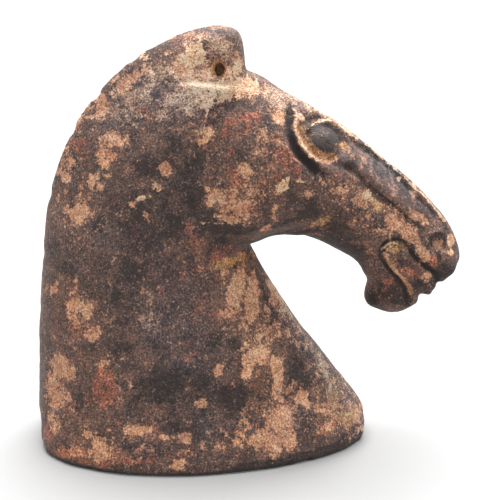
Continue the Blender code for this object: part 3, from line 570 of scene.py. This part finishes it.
def eye(places):
    """A drop-shaped basin that slopes in to a bulging ball, with its lids, the brow and the corner."""
    basin = ramp(1 - oval(places, EYE_HOLLOW, half_length=20, half_height=12.8, turn=EYE_TURN), 0, 0.5)
    ball = oval(places, EYEBALL, half_length=11, half_height=7.6, turn=EYE_TURN)
    return (
        EYEBALL_HEIGHT * np.sqrt(np.clip(1 - ball**2, 0, 1))
        - EYE_HOLLOW_DEPTH * basin * (1.6 - 0.6 * basin)
        + groove(places, LID_EDGE, reach=1.9, depth=-1.4, start=0.25, end=0.3)
        + groove(places, UPPER_LID, reach=2, depth=-2, start=0.2, end=0.3)
        + groove(places, LID_HOLLOW, reach=3, depth=1.3, start=0.3, end=0.3)
        + groove(places, BROW, reach=1.8, depth=-1, start=0.3, end=0.3)
        + groove(places, CORNER_HOLLOW, reach=4.5, depth=1.6, start=0.3, end=0.3)
    )


def nose(places):
    """Two furrows down the side of the nose with the bone between them, and the flared nostril."""
    nostril = oval(places, NOSTRIL, half_length=6.2, half_height=5.8, turn=0)
    walls = ramp(1 - nostril, 0, 0.6)
    wing = bump_of(oval(places, NOSTRIL_WING, half_length=3, half_height=5.5, turn=-20), 1)
    return (
        step_up(places, LOWER_FURROW, rise=-0.9, edge=1.6, before=9, after=14, start=0.3, end=0.3)
        + groove(places, NOSE_BONE, reach=7, depth=-0.4, start=0.3, end=0.3)
        - NOSTRIL_DEPTH * walls * (2 - walls)
        + groove(places, NOSTRIL_RIM, reach=2.6, depth=-0.9, start=0.2, end=0.2)
        - WING_DEPTH * wing
    )


def round_bump(places, centre, reach):
    """A soft round hump, 1 at its centre and 0 at its reach."""
    return bump_of(np.hypot(*(places - np.array(centre)).T), reach)


def mouth(places):
    """The tongue between the parted lips, the rounded edges that they turn to the front, and the chin."""
    tongue_hollow = bump_of(oval(places, TONGUE_HOLLOW, half_length=6, half_height=4, turn=-40), 1)
    notches = sum(depth * round_bump(places, (x, z), reach) for x, z, reach, depth in LIP_NOTCHES)
    return (
        groove(places, TONGUE_LINE, reach=3.2, depth=1.7, start=0.3, end=0.1)
        + groove(places, LOWER_LIP_RIM, reach=1.8, depth=-0.8, start=0.2, end=0.3)
        - TONGUE_HOLLOW_DEPTH * tongue_hollow
        + TONGUE_LOBE_HEIGHT * bump_of(oval(places, TONGUE_LOBE, 6, 5, -45), 1)
        - notches
        + CHIN_HEIGHT * round_bump(places, CHIN, CHIN_REACH)
        - CHIN_HEIGHT * round_bump(places, CHIN_HOLLOW, CHIN_REACH)
    )


def cuts(places, off_crest):
    """The deep lines of the face, which take old soil and painted shade: behind the eye, down the nose, round
    the lips.
    """
    return (
        groove(places, TEMPLE_FURROW, reach=4.1, depth=4.2, start=0.25, end=0.35) * off_crest
        + groove(places, UPPER_FURROW, reach=2.2, depth=2.5, start=0.12, end=0.2) * off_crest
        + groove(places, LOWER_FURROW, reach=2.2, depth=2.6, start=0.12, end=0.2)
        + groove(places, UPPER_LIP_CUT, reach=2.2, depth=3.2, start=0.1, end=0.08, opens=1.4)
        + groove(places, LOWER_LIP_CUT, reach=2.2, depth=3.2, start=0.1, end=0.4, opens=1.2)
        + groove(places, NOSTRIL_NECK, reach=2.2, depth=1.4, start=0.01, end=0.4)
    )


def off_crest_share(sideways):
    """0 along the middle of the face and 1 well off it."""
    return ramp(sideways, CREST_CLEAR, CREST_BLEND)


def mane_wear(places, sideways):
    """Chips knocked off the crest of the mane."""
    wear = np.zeros(len(places))
    for centre, reach, depth in MANE_CHIPS:
        gap = places - np.array(centre)
        wear -= depth * bump_of(np.hypot(np.hypot(gap[:, 0], gap[:, 1]), sideways), reach)
    return wear


def carving(places, sideways):
    """How far the clay stands out at each place of the side view, in units."""
    off_crest = off_crest_share(sideways)
    return (
        cheek_and_poll(places)
        + eye(places) * off_crest
        + nose(places)
        + mouth(places)
        + cuts(places, off_crest)
        + mane_wear(places, sideways)
    )


def hashed(cells, seed):
    """A fixed random number from 0 to 1 for each cell of a grid."""
    mixed = (cells[:, 0] * 73856093) ^ (cells[:, 1] * 19349663) ^ (cells[:, 2] * 83492791) ^ (seed * 40503)
    mixed = (mixed ^ (mixed >> 13)) * 1274126177
    mixed = (mixed ^ (mixed >> 15)) * 668265263
    return ((mixed ^ (mixed >> 16)) & 0xFFFFFF) / 0xFFFFFF


def cloud(points, size, seed):
    """Soft noise from 0 to 1 whose lumps are about size across."""
    scaled = points / size
    cells = np.floor(scaled).astype(np.int64)
    part = scaled - cells
    part = part * part * (3 - 2 * part)
    total = np.zeros(len(points))
    for corner in np.ndindex(2, 2, 2):
        weight = np.prod(np.where(corner, part, 1 - part), axis=1)
        total += weight * hashed(cells + np.array(corner), seed)
    return total


def ragged(points, size, octaves, seed, gain=0.55):
    """Noise from about -1 to 1 with ever finer lumps on its lumps."""
    total, weight = np.zeros(len(points)), 0
    for octave in range(octaves):
        total += gain**octave * (2 * cloud(points + 17.3 * octave, size / 2**octave, seed + octave) - 1)
        weight += gain**octave
    return total / weight * 1.6


def pits(points, size, share, seed):
    """Depth from 0 to 1 in round pits, one in this share of the cells of a grid."""
    scaled = points / size
    cells = np.floor(scaled).astype(np.int64)
    deepest = np.zeros(len(points))
    for corner in np.ndindex(3, 3, 3):
        cell = cells + np.array(corner) - 1
        centre = cell + np.column_stack([hashed(cell, seed + axis) for axis in range(3)])
        radius = 0.18 + 0.32 * hashed(cell, seed + 3)
        there = hashed(cell, seed + 4) < share
        distance = np.linalg.norm(scaled - centre, axis=1) / radius
        deepest = np.maximum(deepest, np.where(there, np.clip(1 - distance**2, 0, 1), 0))
    return deepest


def evaluated_mesh(obj):
    """The object's mesh with its modifiers applied."""
    graph = bpy.context.evaluated_depsgraph_get()
    return bpy.data.meshes.new_from_object(obj.evaluated_get(graph))


def new_object(name, mesh):
    obj = bpy.data.objects.new(name, mesh)
    bpy.context.scene.collection.objects.link(obj)
    return obj


def apply_all(obj):
    obj.data = evaluated_mesh(obj)
    obj.modifiers.clear()


def reskin(obj, spacing, smoothing):
    """Covers the object with one even skin and relaxes it."""
    skin = obj.modifiers.new("skin", "REMESH")
    skin.mode = "VOXEL"
    skin.voxel_size = spacing * UNIT
    relax = obj.modifiers.new("relax", "SMOOTH")
    relax.iterations = smoothing
    apply_all(obj)


def finish_shape(shape, mesh):
    """Turns every face outward and puts the shape into the mesh."""
    bmesh.ops.recalc_face_normals(shape, faces=shape.faces)
    shape.to_mesh(mesh)
    shape.free()


def lofted(name, *bodies):
    """A mesh of closed bodies, each given by its rings."""
    shape, mesh = bmesh.new(), bpy.data.meshes.new(name)
    for rings in bodies:
        loft(shape, rings)
    finish_shape(shape, mesh)
    return mesh


def forms():
    """The neck and the head, passing through each other."""
    return lofted("horse_head_surface", neck_rings(), head_rings())


def surface_of(mesh):
    """The points of the surface in units, and its normals."""
    count = len(mesh.vertices)
    points, normals = np.empty(count * 3), np.empty(count * 3)
    mesh.vertices.foreach_get("co", points)
    mesh.vertices.foreach_get("normal", normals)
    return points.reshape(-1, 3) / UNIT, normals.reshape(-1, 3)


def push(mesh, relief):
    """Moves each point along its normal by so many units."""
    points, normals = surface_of(mesh)
    points += normals * relief[:, None]
    mesh.vertices.foreach_set("co", (points * UNIT).ravel())
    mesh.update()


def ear_rings(side):
    """Sections of the drop-shaped funnel of an ear socket, on the side of Y that side gives."""
    for distance, size, forward, down in EAR_SECTIONS:
        points = []
        for i in range(EAR_SIDES):
            angle = 2 * math.pi * i / EAR_SIDES
            lift = math.cos(angle)
            narrowed = EAR_HALF_WIDTH * size * (1 - EAR_POINT * max(lift, 0) ** 2)
            x = EAR_CENTRE[0] + forward + narrowed * math.sin(angle)
            z = EAR_CENTRE[1] - down + EAR_HALF_HEIGHT * size * lift
            points.append((x * UNIT, side * distance * UNIT, z * UNIT))
        yield points


def sink_ears(obj):
    """Cuts the socket of an ear into each side."""
    cutters = [new_object("ear_cutter", lofted("ear_cutter", ear_rings(side))) for side in (-1, 1)]
    for cutter in cutters:
        cut = obj.modifiers.new("ear_socket", "BOOLEAN")
        cut.operation = "DIFFERENCE"
        cut.solver = "EXACT"
        cut.object = cutter
    apply_all(obj)
    for cutter in cutters:
        bpy.data.objects.remove(cutter)


def thin_out(obj):
    """Keeps small faces where the form turns sharply and larger ones elsewhere."""
    obj.data.calc_loop_triangles()
    thinner = obj.modifiers.new("thinner", "DECIMATE")
    thinner.ratio = min(1, KEPT_TRIANGLES / len(obj.data.loop_triangles))
    apply_all(obj)


def cut_foot(obj):
    """Cuts the figure off flat at the level that it stands on."""
    shape = bmesh.new()
    shape.from_mesh(obj.data)
    everything = shape.verts[:] + shape.edges[:] + shape.faces[:]
    cut = bmesh.ops.bisect_plane(
        shape,
        geom=everything,
        dist=UNIT * FOOT_TOLERANCE,
        plane_co=(0, 0, 0),
        plane_no=(0, 0, -1),
        clear_outer=True,
    )
    rim = [item for item in cut["geom_cut"] if isinstance(item, bmesh.types.BMEdge)]
    bmesh.ops.edgeloop_fill(shape, edges=rim)
    finish_shape(shape, obj.data)


# Surface finish: how far the soft rim of a patch and of a line reaches, times its drawn size
PATCH_REACH, LINE_REACH = 1.6, 1.7


def patch_hump(places, x, z, half_length, half_height, strength=1, turn=0):
    """One soft patch, with its strength in the middle and 0 at its rim."""
    distance = oval(places, (x, z), half_length * PATCH_REACH, half_height * PATCH_REACH, turn)
    return strength * bump_of(distance, 1)


def patch_field(places, patches, lines=()):
    """How strongly each place belongs to a kind of patch, from 0 at the edges to the strength inside."""
    field = np.zeros(len(places))
    for patch in patches:
        field = np.maximum(field, patch_hump(places, *patch))
    for points, half_width, strength in lines:
        reach = half_width * LINE_REACH
        near = near_line(places, points, reach)
        distance, _, _ = along_stroke(places[near], points)
        field[near] = np.maximum(field[near], strength * bump_of(distance, reach))
    return field


def sum_field(places, patches):
    """The sum of soft patches, each of which makes its place lighter or darker, warmer or cooler."""
    return sum(patch_hump(places, *patch) for patch in patches)


PATCH_KINDS = {
    "clay": (CLAY_PATCHES, CLAY_LINES),
    "cream": (CREAM_PATCHES, CREAM_LINES),
    "ochre": (OCHRE_PATCHES, OCHRE_LINES),
    "red": (RED_PATCHES, RED_LINES),
    "dark": (DARK_PATCHES, DARK_LINES),
    "grey_film_and_painted_sheen": (GREY_FILM_AND_PAINTED_SHEEN_PATCHES,),
}

# The right side gives way to the rest over this part of the normal's turn. On the rest the patches
# shift about in wide lumps, and everywhere their edges are a little ragged.
FACING_BLEND, FACING_START = 0.3, 0.15
FAR_SHIFT, FAR_SHIFT_SIZE = 26, 45
EDGE_SHIFT, EDGE_SHIFT_SIZE = 1.2, 6

# On the head they keep this share of their place: it begins over these ramps of x and z, (start, length)
HEAD_HOLD, HEAD_RAMP_X, HEAD_RAMP_Z = 0.94, (30, 20), (85, 20)


def patch_fields(mesh):
    """The fields of every kind of patch. They are drawn for the right side and shift about on the rest."""
    points, normals = surface_of(mesh)
    facing = np.clip(-normals[:, 1] / FACING_BLEND + FACING_START, 0, 1)
    away = 1 - facing * facing * (3 - 2 * facing)
    away *= 1 - HEAD_HOLD * (ramp(points[:, 0], *HEAD_RAMP_X) * ramp(points[:, 2], *HEAD_RAMP_Z))
    places = points[:, ::2].copy()
    places[:, 0] += away * FAR_SHIFT * ragged(points, FAR_SHIFT_SIZE, 2, 301)
    places[:, 1] += away * FAR_SHIFT * ragged(points, FAR_SHIFT_SIZE, 2, 311)
    places += EDGE_SHIFT * np.column_stack([ragged(points, EDGE_SHIFT_SIZE, 3, seed) for seed in (321, 331)])
    fields = {kind: patch_field(places, *drawn) for kind, drawn in PATCH_KINDS.items()}
    # lighter and darker tone, with painted shade under the jaw and a painted highlight on the nose's top edge
    fields["light"] = sum_field(places, TONE_AND_PAINTED_LIGHT_PATCHES)
    fields["warmth"] = sum_field(places, WARMTH_PATCHES)
    fields["calm"] = patch_field(places, CALM_PATCHES)
    return fields


# Wear, in units: lumps as (height, size, octaves, seed) and pits as (depth, size, share of cells, seed)
LUMPS = ((0.45, 34, 2, 401), (0.22, 9, 2, 411), (0.1, 3, 2, 421))
PITS = ((0.55, 7, 0.22, 431), (0.3, 3.4, 0.3, 441))

# The edge of flaked skin or crust: where it lies in the field, over what length, and its raggedness
SKIN_STEP, SKIN_EDGE, SKIN_EDGE_LENGTH, SKIN_RAGGED = 0.3, 0.45, 0.15, 0.35
LIPS, LIPS_REACH, LIPS_CALM = (140, 115), 48, 0.75

# The foot: chips of its rim, the rim itself and its undercut, the flare of its sides and its tuck
FOOT_CHIP_AT, FOOT_CHIP_REACH, FOOT_CHIP_DEPTH, FOOT_CHIP_FROM = 3, 7, 1.6, 0.1
FOOT_RIM_AT, FOOT_RIM_REACH, FOOT_RIM_HEIGHT = 7, 9, 0.6
FOOT_UNDERCUT, FOOT_UNDERCUT_TOP = 1.5, 3
FOOT_FLARE, FOOT_FLARE_REACH = 6.2, 45
FOOT_TUCK, FOOT_TUCK_REACH = 4.5, 24


def skin_share(points, field, seed):
    """1 inside the ragged edge of a field of patches and 0 outside it."""
    return ramp(field + SKIN_RAGGED * ragged(points, 5, 3, seed), SKIN_EDGE, SKIN_EDGE_LENGTH)


def foot_form(height, forward):
    """How the clay stands out near the ground, from its height and how far its face looks forward."""
    rim = FOOT_RIM_HEIGHT * bump_of(np.abs(height - FOOT_RIM_AT), FOOT_RIM_REACH)
    rim -= FOOT_UNDERCUT * np.clip(1 - height / FOOT_UNDERCUT_TOP, 0, 1)
    rim += FOOT_FLARE * bump_of(height.clip(0), FOOT_FLARE_REACH) * (1 - forward**4)
    return rim - FOOT_TUCK * bump_of(height.clip(0), FOOT_TUCK_REACH) * forward**8


def wear(mesh, fields):
    """Lumps, pits and flaked skin of a hand-pressed and long-buried clay surface, in units."""
    points, normals = surface_of(mesh)
    height = points[:, 2]
    lumps = sum(high * ragged(points, size, octaves, seed) for high, size, octaves, seed in LUMPS)
    holes = sum(depth * pits(points, size, share, seed) for depth, size, share, seed in PITS)
    flaked = SKIN_STEP * skin_share(points, fields["clay"], 451)
    crust = SKIN_STEP * skin_share(points, fields["cream"], 461)
    chips = bump_of(np.abs(height - FOOT_CHIP_AT), FOOT_CHIP_REACH)
    chips *= np.clip(ragged(points, 11, 3, 471) - FOOT_CHIP_FROM, 0, 1)
    calm = 1 - LIPS_CALM * bump_of(oval(points[:, ::2], LIPS, LIPS_REACH, LIPS_REACH, 0), 1)
    skin = calm * (lumps - holes - flaked + crust)
    return skin - FOOT_CHIP_DEPTH * chips + foot_form(height, normals[:, 0])


class Nodes:
    """Short names for the nodes of one material."""

    def __init__(self, material):
        self.tree = material.node_tree

    def add(self, kind, settings=(), **sockets):
        node = self.tree.nodes.new(kind)
        for name, value in dict(settings).items():
            setattr(node, name, value)
        for name, value in sockets.items():
            self.put(node.inputs[name.replace("_", " ")], value)
        return node

    def put(self, socket, value):
        if isinstance(value, bpy.types.NodeSocket):
            self.tree.links.new(value, socket)
        else:
            socket.default_value = value

    def math(self, operation, *values, kind="ShaderNodeMath"):
        """Joins the values one after the other by the same operation."""
        total = values[0]
        for value in values[1:]:
            node = self.add(kind, {"operation": operation})
            self.put(node.inputs[0], total)
            self.put(node.inputs[1], value)
            total = node.outputs[0]
        return total

    def plus(self, *values):
        return self.math("ADD", *values)

    def times(self, *values):
        return self.math("MULTIPLY", *values)

    def vector(self, operation, *values):
        return self.math(operation, *values, kind="ShaderNodeVectorMath")

    def scaled(self, vector, scale):
        return self.add("ShaderNodeVectorMath", {"operation": "SCALE"}, Vector=vector, Scale=scale).outputs[0]

    def step(self, value, low, high):
        """0 below low, 1 above high, and smooth between."""
        limits = {"From Min": low, "From Max": high}
        node = self.add("ShaderNodeMapRange", {"interpolation_type": "SMOOTHSTEP"}, Value=value, **limits)
        return node.outputs["Result"]

    def noise(self, place, size, detail=2, roughness=0.5, shift=0.0):
        """Noise about 0, whose lumps are about size units across."""
        moved = self.vector("ADD", place, (shift, shift * 0.7, shift * 0.3))
        texture = {"Vector": moved, "Scale": 1 / size, "Detail": detail, "Roughness": roughness}
        return self.math("SUBTRACT", self.add("ShaderNodeTexNoise", **texture).outputs[0], 0.5)

    def mix(self, share, first, second):
        """Goes over from the first colour to the second, by the colour sockets of the node."""
        node = self.add("ShaderNodeMix", {"data_type": "RGBA"})
        for socket, value in ((0, share), (6, first), (7, second)):
            self.put(node.inputs[socket], value)
        return node.outputs[2]

    def field(self, name):
        return self.add("ShaderNodeAttribute", {"attribute_name": name}).outputs["Fac"]


# the darkest colour: of pores, and of the soil and painted shade in cuts, ear sockets and under the foot's
# rim
DEEP_DARK = (0.020, 0.015, 0.015, 1)
LIGHT_SPECK = (0.76, 0.57, 0.47, 1)

# Colours of the clay from its blackest skin (0) to its palest crust (1)
TONES = (
    (0.00, (0.034, 0.024, 0.022, 1)),
    (0.14, (0.070, 0.047, 0.042, 1)),
    (0.30, (0.138, 0.084, 0.069, 1)),
    (0.44, (0.245, 0.141, 0.107, 1)),
    (0.57, (0.380, 0.198, 0.131, 1)),
    (0.70, (0.540, 0.285, 0.172, 1)),
    (0.84, (0.730, 0.435, 0.262, 1)),
    (1.00, (0.900, 0.665, 0.460, 1)),
)
BARE_STATE = (0.29, 0.06, -0.05, 1)

# Kinds of patch from the lowest up: (field, tone, redness, yellowness), then where its edges lie
# in the field and how much they are scattered
KINDS = (
    ("red", (0.45, 1.2, 0.05, 1), 0.25, 0.80, 1.1),
    ("dark", (0.09, -0.5, 0.0, 1), 0.18, 0.70, 1.0),
    # the pale grey film, partly a painted sheen along edges
    ("grey_film_and_painted_sheen", (0.67, -1.05, -1.25, 1), 0.25, 0.80, 1.3),
    ("clay", (0.745, 0.30, 0.12, 1), 0.30, 0.62, 1.2),
    ("ochre", (0.63, 0.0, 0.65, 1), 0.30, 0.70, 1.1),
    ("cream", (0.88, -0.05, 0.1, 1), 0.38, 0.62, 1.1),
)
RED_TINT = (0.26, -0.12, -0.18)
YELLOW_TINT = (0.02, -0.02, -0.34)
WARM_TINT = (0.20, -0.03, -0.30)

# How strongly each noise of the surface moves its tone, and where its specks, pores, and soil with painted
# shade begin and end
CLOUD_SHARE, BLOTCH_SHARE, GRAIN_SHARE, GRIT_SHARE = 0.50, 0.60, 0.80, 1.15
SPECK_EDGES, PORE_EDGES, SOIL_AND_SHADE_EDGES = (0.19, 0.29), (0.13, 0.26), (0.25, 0.95)
PORE_STRENGTH, SOIL_AND_SHADE_STRENGTH = 0.55, 0.85
BUMP_STRENGTH, BUMP_DEPTH = 0.75, 0.6


def buried_terracotta():
    """Fired clay under a dark skin that has flaked, with crusts of soil and a pale film on top, and painted
    light: painted sheen and highlights along edges, and painted shade in the hollows, under the jaw and under
    the foot's rim.
    """
    material = bpy.data.materials.new("buried_terracotta")
    material.use_nodes = True
    n = Nodes(material)
    shader = n.tree.nodes["Principled BSDF"]
    place = n.scaled(n.add("ShaderNodeTexCoord").outputs["Object"], 1 / UNIT)

    grit = n.noise(place, 1.1, 1, 0.5, 3)
    grain = n.noise(place, 2.4, 3, 0.7, 11)
    blotches = n.noise(place, 9, 4, 0.65, 23)
    clouds = n.noise(place, 26, 4, 0.6, 37)

    def scatter(amount, shift):
        """Noise that breaks a patch up into grains, then flakes, then blotches."""
        fine = n.times(n.noise(place, 1.5, 1, 0.5, shift), 0.55)
        flakes = n.noise(place, 3.6, 3, 0.7, shift + 7)
        wide = n.times(n.noise(place, 11, 4, 0.65, shift + 13), 1.6)
        return n.times(n.plus(fine, flakes, wide), amount)

    state = BARE_STATE
    shares = {}
    for number, (name, target, low, high, amount) in enumerate(KINDS):
        shares[name] = n.step(n.plus(n.field(name), scatter(amount, 101 + 31 * number)), low, high)
        state = n.mix(shares[name], state, target)
    tone, redness, yellowness = n.add("ShaderNodeSeparateXYZ", Vector=state).outputs

    # lighter and darker tone, partly painted shade and highlight, then grain, blotches and clouds of the
    # whole surface, calmer where the skin is darkest
    tone = n.plus(tone, n.field("light"))
    pale = n.math("MAXIMUM", shares["clay"], shares["cream"])
    even = n.math("SUBTRACT", 1.0, n.times(pale, 0.3))
    smooth = n.math("SUBTRACT", 1.0, n.times(n.field("calm"), 0.6))
    lively = n.times(even, n.plus(0.5, n.times(tone, 1.1)), smooth)
    drift = n.plus(
        n.times(clouds, CLOUD_SHARE),
        n.times(blotches, BLOTCH_SHARE),
        n.times(grain, GRAIN_SHARE),
        n.times(grit, GRIT_SHARE),
    )
    ramp_node = n.add("ShaderNodeValToRGB", Fac=n.plus(tone, n.times(drift, lively)))
    stops = ramp_node.color_ramp.elements
    while len(stops) < len(TONES):
        stops.new(0.5)
    for stop, (position, colour) in zip(stops, TONES):
        stop.position, stop.color = position, colour

    # red, yellow and warm casts
    redness = n.plus(redness, n.noise(place, 14, 3, 0.6, 57))
    warmth = n.times(n.field("warmth"), even)
    casts = ((RED_TINT, redness), (YELLOW_TINT, yellowness), (WARM_TINT, warmth))
    tint = n.vector("ADD", *(n.scaled(direction, amount) for direction, amount in casts), (1, 1, 1))
    colour = n.vector("MULTIPLY", ramp_node.outputs["Color"], tint)

    # fine light grains, dark pores, and soil and painted shade in the cuts, painted shade in the ear sockets'
    # inner ends and under the foot's rim
    lit = n.math("SUBTRACT", 1.0, n.math("MINIMUM", n.times(n.field("dark"), 0.8), 0.8))
    dusty = n.times(smooth, n.plus(0.6, n.times(shares["grey_film_and_painted_sheen"], 0.3)))
    specks = n.step(n.plus(grit, n.times(grain, 0.6)), *SPECK_EDGES)
    pores = n.step(n.plus(n.noise(place, 1.1, 1, 0.5, 91), n.times(grain, 0.5)), *PORE_EDGES)
    # soil and painted shade in the cuts, painted shade in the ear sockets and under the foot's rim
    soil = n.step(n.plus(n.field("hollow"), scatter(0.6, 401)), *SOIL_AND_SHADE_EDGES)
    colour = n.mix(n.times(specks, n.times(lit, dusty)), colour, LIGHT_SPECK)
    colour = n.mix(n.times(pores, PORE_STRENGTH), colour, DEEP_DARK)
    colour = n.mix(n.times(soil, SOIL_AND_SHADE_STRENGTH), colour, DEEP_DARK)

    grains = n.plus(n.times(grain, 1.2), n.times(grit, 0.7), n.times(shares["cream"], 0.35))
    height = n.math("SUBTRACT", grains, n.times(n.plus(pores, shares["clay"]), 0.3))
    relief = n.add("ShaderNodeBump", Strength=BUMP_STRENGTH, Distance=BUMP_DEPTH * UNIT, Height=height)
    finish = {
        "Base Color": colour,
        "Roughness": n.plus(0.74, n.times(grain, 0.5)),
        "Specular IOR Level": 0.4,
        "Sheen Weight": 0.12,
        "Sheen Roughness": 0.45,
        "Sheen Tint": (1, 0.93, 0.86, 1),
        "Normal": relief.outputs[0],
    }
    for name, value in finish.items():
        n.put(shader.inputs[name], value)
    return material


# Cuts this deep are full of soil and painted shade. The inner end of an ear socket is painted with shade this
# dark and this big, and the painted shade under the foot's rim ends this high.
SOIL_AND_SHADE_DEPTH, THROAT_SHADE, THROAT_SIZE = 3, 0.8, (5, 6)
RIM_SHADE, RIM_SHADE_LENGTH = 1.6, 3


def soil_and_shade_field(points):
    """How dark each place is painted: soil and painted shade, 1 in the deepest cuts; painted shade in the
    inner end of each ear socket, and 1 under the foot's rim.
    """
    places, sideways = points[:, ::2], np.abs(points[:, 1])
    cut = -cuts(places, off_crest_share(sideways)) / SOIL_AND_SHADE_DEPTH
    in_throat = (oval(places, EAR_THROAT, *THROAT_SIZE, 0) < 1) & (sideways < EAR_THROAT_SIDE)
    under = RIM_SHADE - points[:, 2] / RIM_SHADE_LENGTH
    return np.clip(np.maximum(np.maximum(cut, THROAT_SHADE * in_throat), under), 0, 1)


def horse():
    """The whole figure: its forms, then the carving and the ear sockets, then the wear and the finish."""
    head = new_object("horse_head_surface", forms())
    reskin(head, FORM_SPACING, FORM_SMOOTHING)
    points, _ = surface_of(head.data)
    push(head.data, carving(points[:, ::2], np.abs(points[:, 1])))
    sink_ears(head)
    reskin(head, CARVED_SPACING, CARVED_SMOOTHING)
    push(head.data, wear(head.data, patch_fields(head.data)))
    thin_out(head)
    cut_foot(head)
    fields = patch_fields(head.data)
    points, _ = surface_of(head.data)
    # soil and painted shade in the cuts, painted shade in the ear sockets and under the foot's rim
    fields["hollow"] = soil_and_shade_field(points)
    for kind, field in fields.items():
        stored = head.data.attributes.new(kind, "FLOAT", "POINT")
        stored.data.foreach_set("value", field.astype(np.float32))
    head.data.shade_smooth()
    head.data.materials.clear()
    head.data.materials.append(buried_terracotta())
    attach(head, "root")
    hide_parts("horse_head")
    return head


# The room: a pale floor, an even white surrounding and one broad light from above and a little behind
FLOOR_HALF, FLOOR_TONE = 4, 0.485
WORLD_STRENGTH = 0.62
LIGHT_STRENGTH, LIGHT_SPREAD, LIGHT_TURN = 6.4, math.radians(60), (math.radians(-21), math.radians(5), 0)
CAMERA_DISTANCE, CAMERA_TILT = 0.915, math.radians(18)
CAMERA_TARGET = (0.03304, 0, 0.12904)


def studio():
    corners = [(x * FLOOR_HALF, y * FLOOR_HALF, 0) for x, y in ((-1, -1), (1, -1), (1, 1), (-1, 1))]
    mesh = bpy.data.meshes.new("floor")
    mesh.from_pydata(corners, [], [(0, 1, 2, 3)])
    floor = new_object("floor", mesh)
    pale = bpy.data.materials.new("pale_floor")
    pale.use_nodes = True
    shader = pale.node_tree.nodes["Principled BSDF"]
    shader.inputs["Base Color"].default_value = (FLOOR_TONE, FLOOR_TONE, FLOOR_TONE, 1)
    shader.inputs["Roughness"].default_value = 0.7
    shader.inputs["Specular IOR Level"].default_value = 0.1
    mesh.materials.append(pale)
    floor.visible_diffuse = False
    floor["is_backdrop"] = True

    world = bpy.data.worlds.new("studio")
    world.use_nodes = True
    world.node_tree.nodes["Background"].inputs[0].default_value = (1, 1, 1, 1)
    world.node_tree.nodes["Background"].inputs[1].default_value = WORLD_STRENGTH
    bpy.context.scene.world = world
    light = bpy.data.lights.new("overhead", "SUN")
    light.energy = LIGHT_STRENGTH
    light.angle = LIGHT_SPREAD
    lamp = new_object("overhead", light)
    lamp.location = (0, 0, 1.5)
    lamp.rotation_euler = LIGHT_TURN


def camera():
    lens = bpy.data.cameras.new("photo_view")
    lens.lens = 100
    lens.sensor_width = 36
    view = new_object("photo_view", lens)
    view.location = (
        CAMERA_TARGET[0],
        CAMERA_TARGET[1] - CAMERA_DISTANCE * math.cos(CAMERA_TILT),
        CAMERA_TARGET[2] + CAMERA_DISTANCE * math.sin(CAMERA_TILT),
    )
    view.rotation_euler = (math.pi / 2 - CAMERA_TILT, 0, 0)
    bpy.context.scene.camera = view


horse()
studio()
camera()
bpy.context.scene.view_settings.view_transform = "Standard"

boxes = {"cad": cad_box, "visual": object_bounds()}
{name: [[float(v) for v in corner] for corner in box] for name, box in boxes.items()}
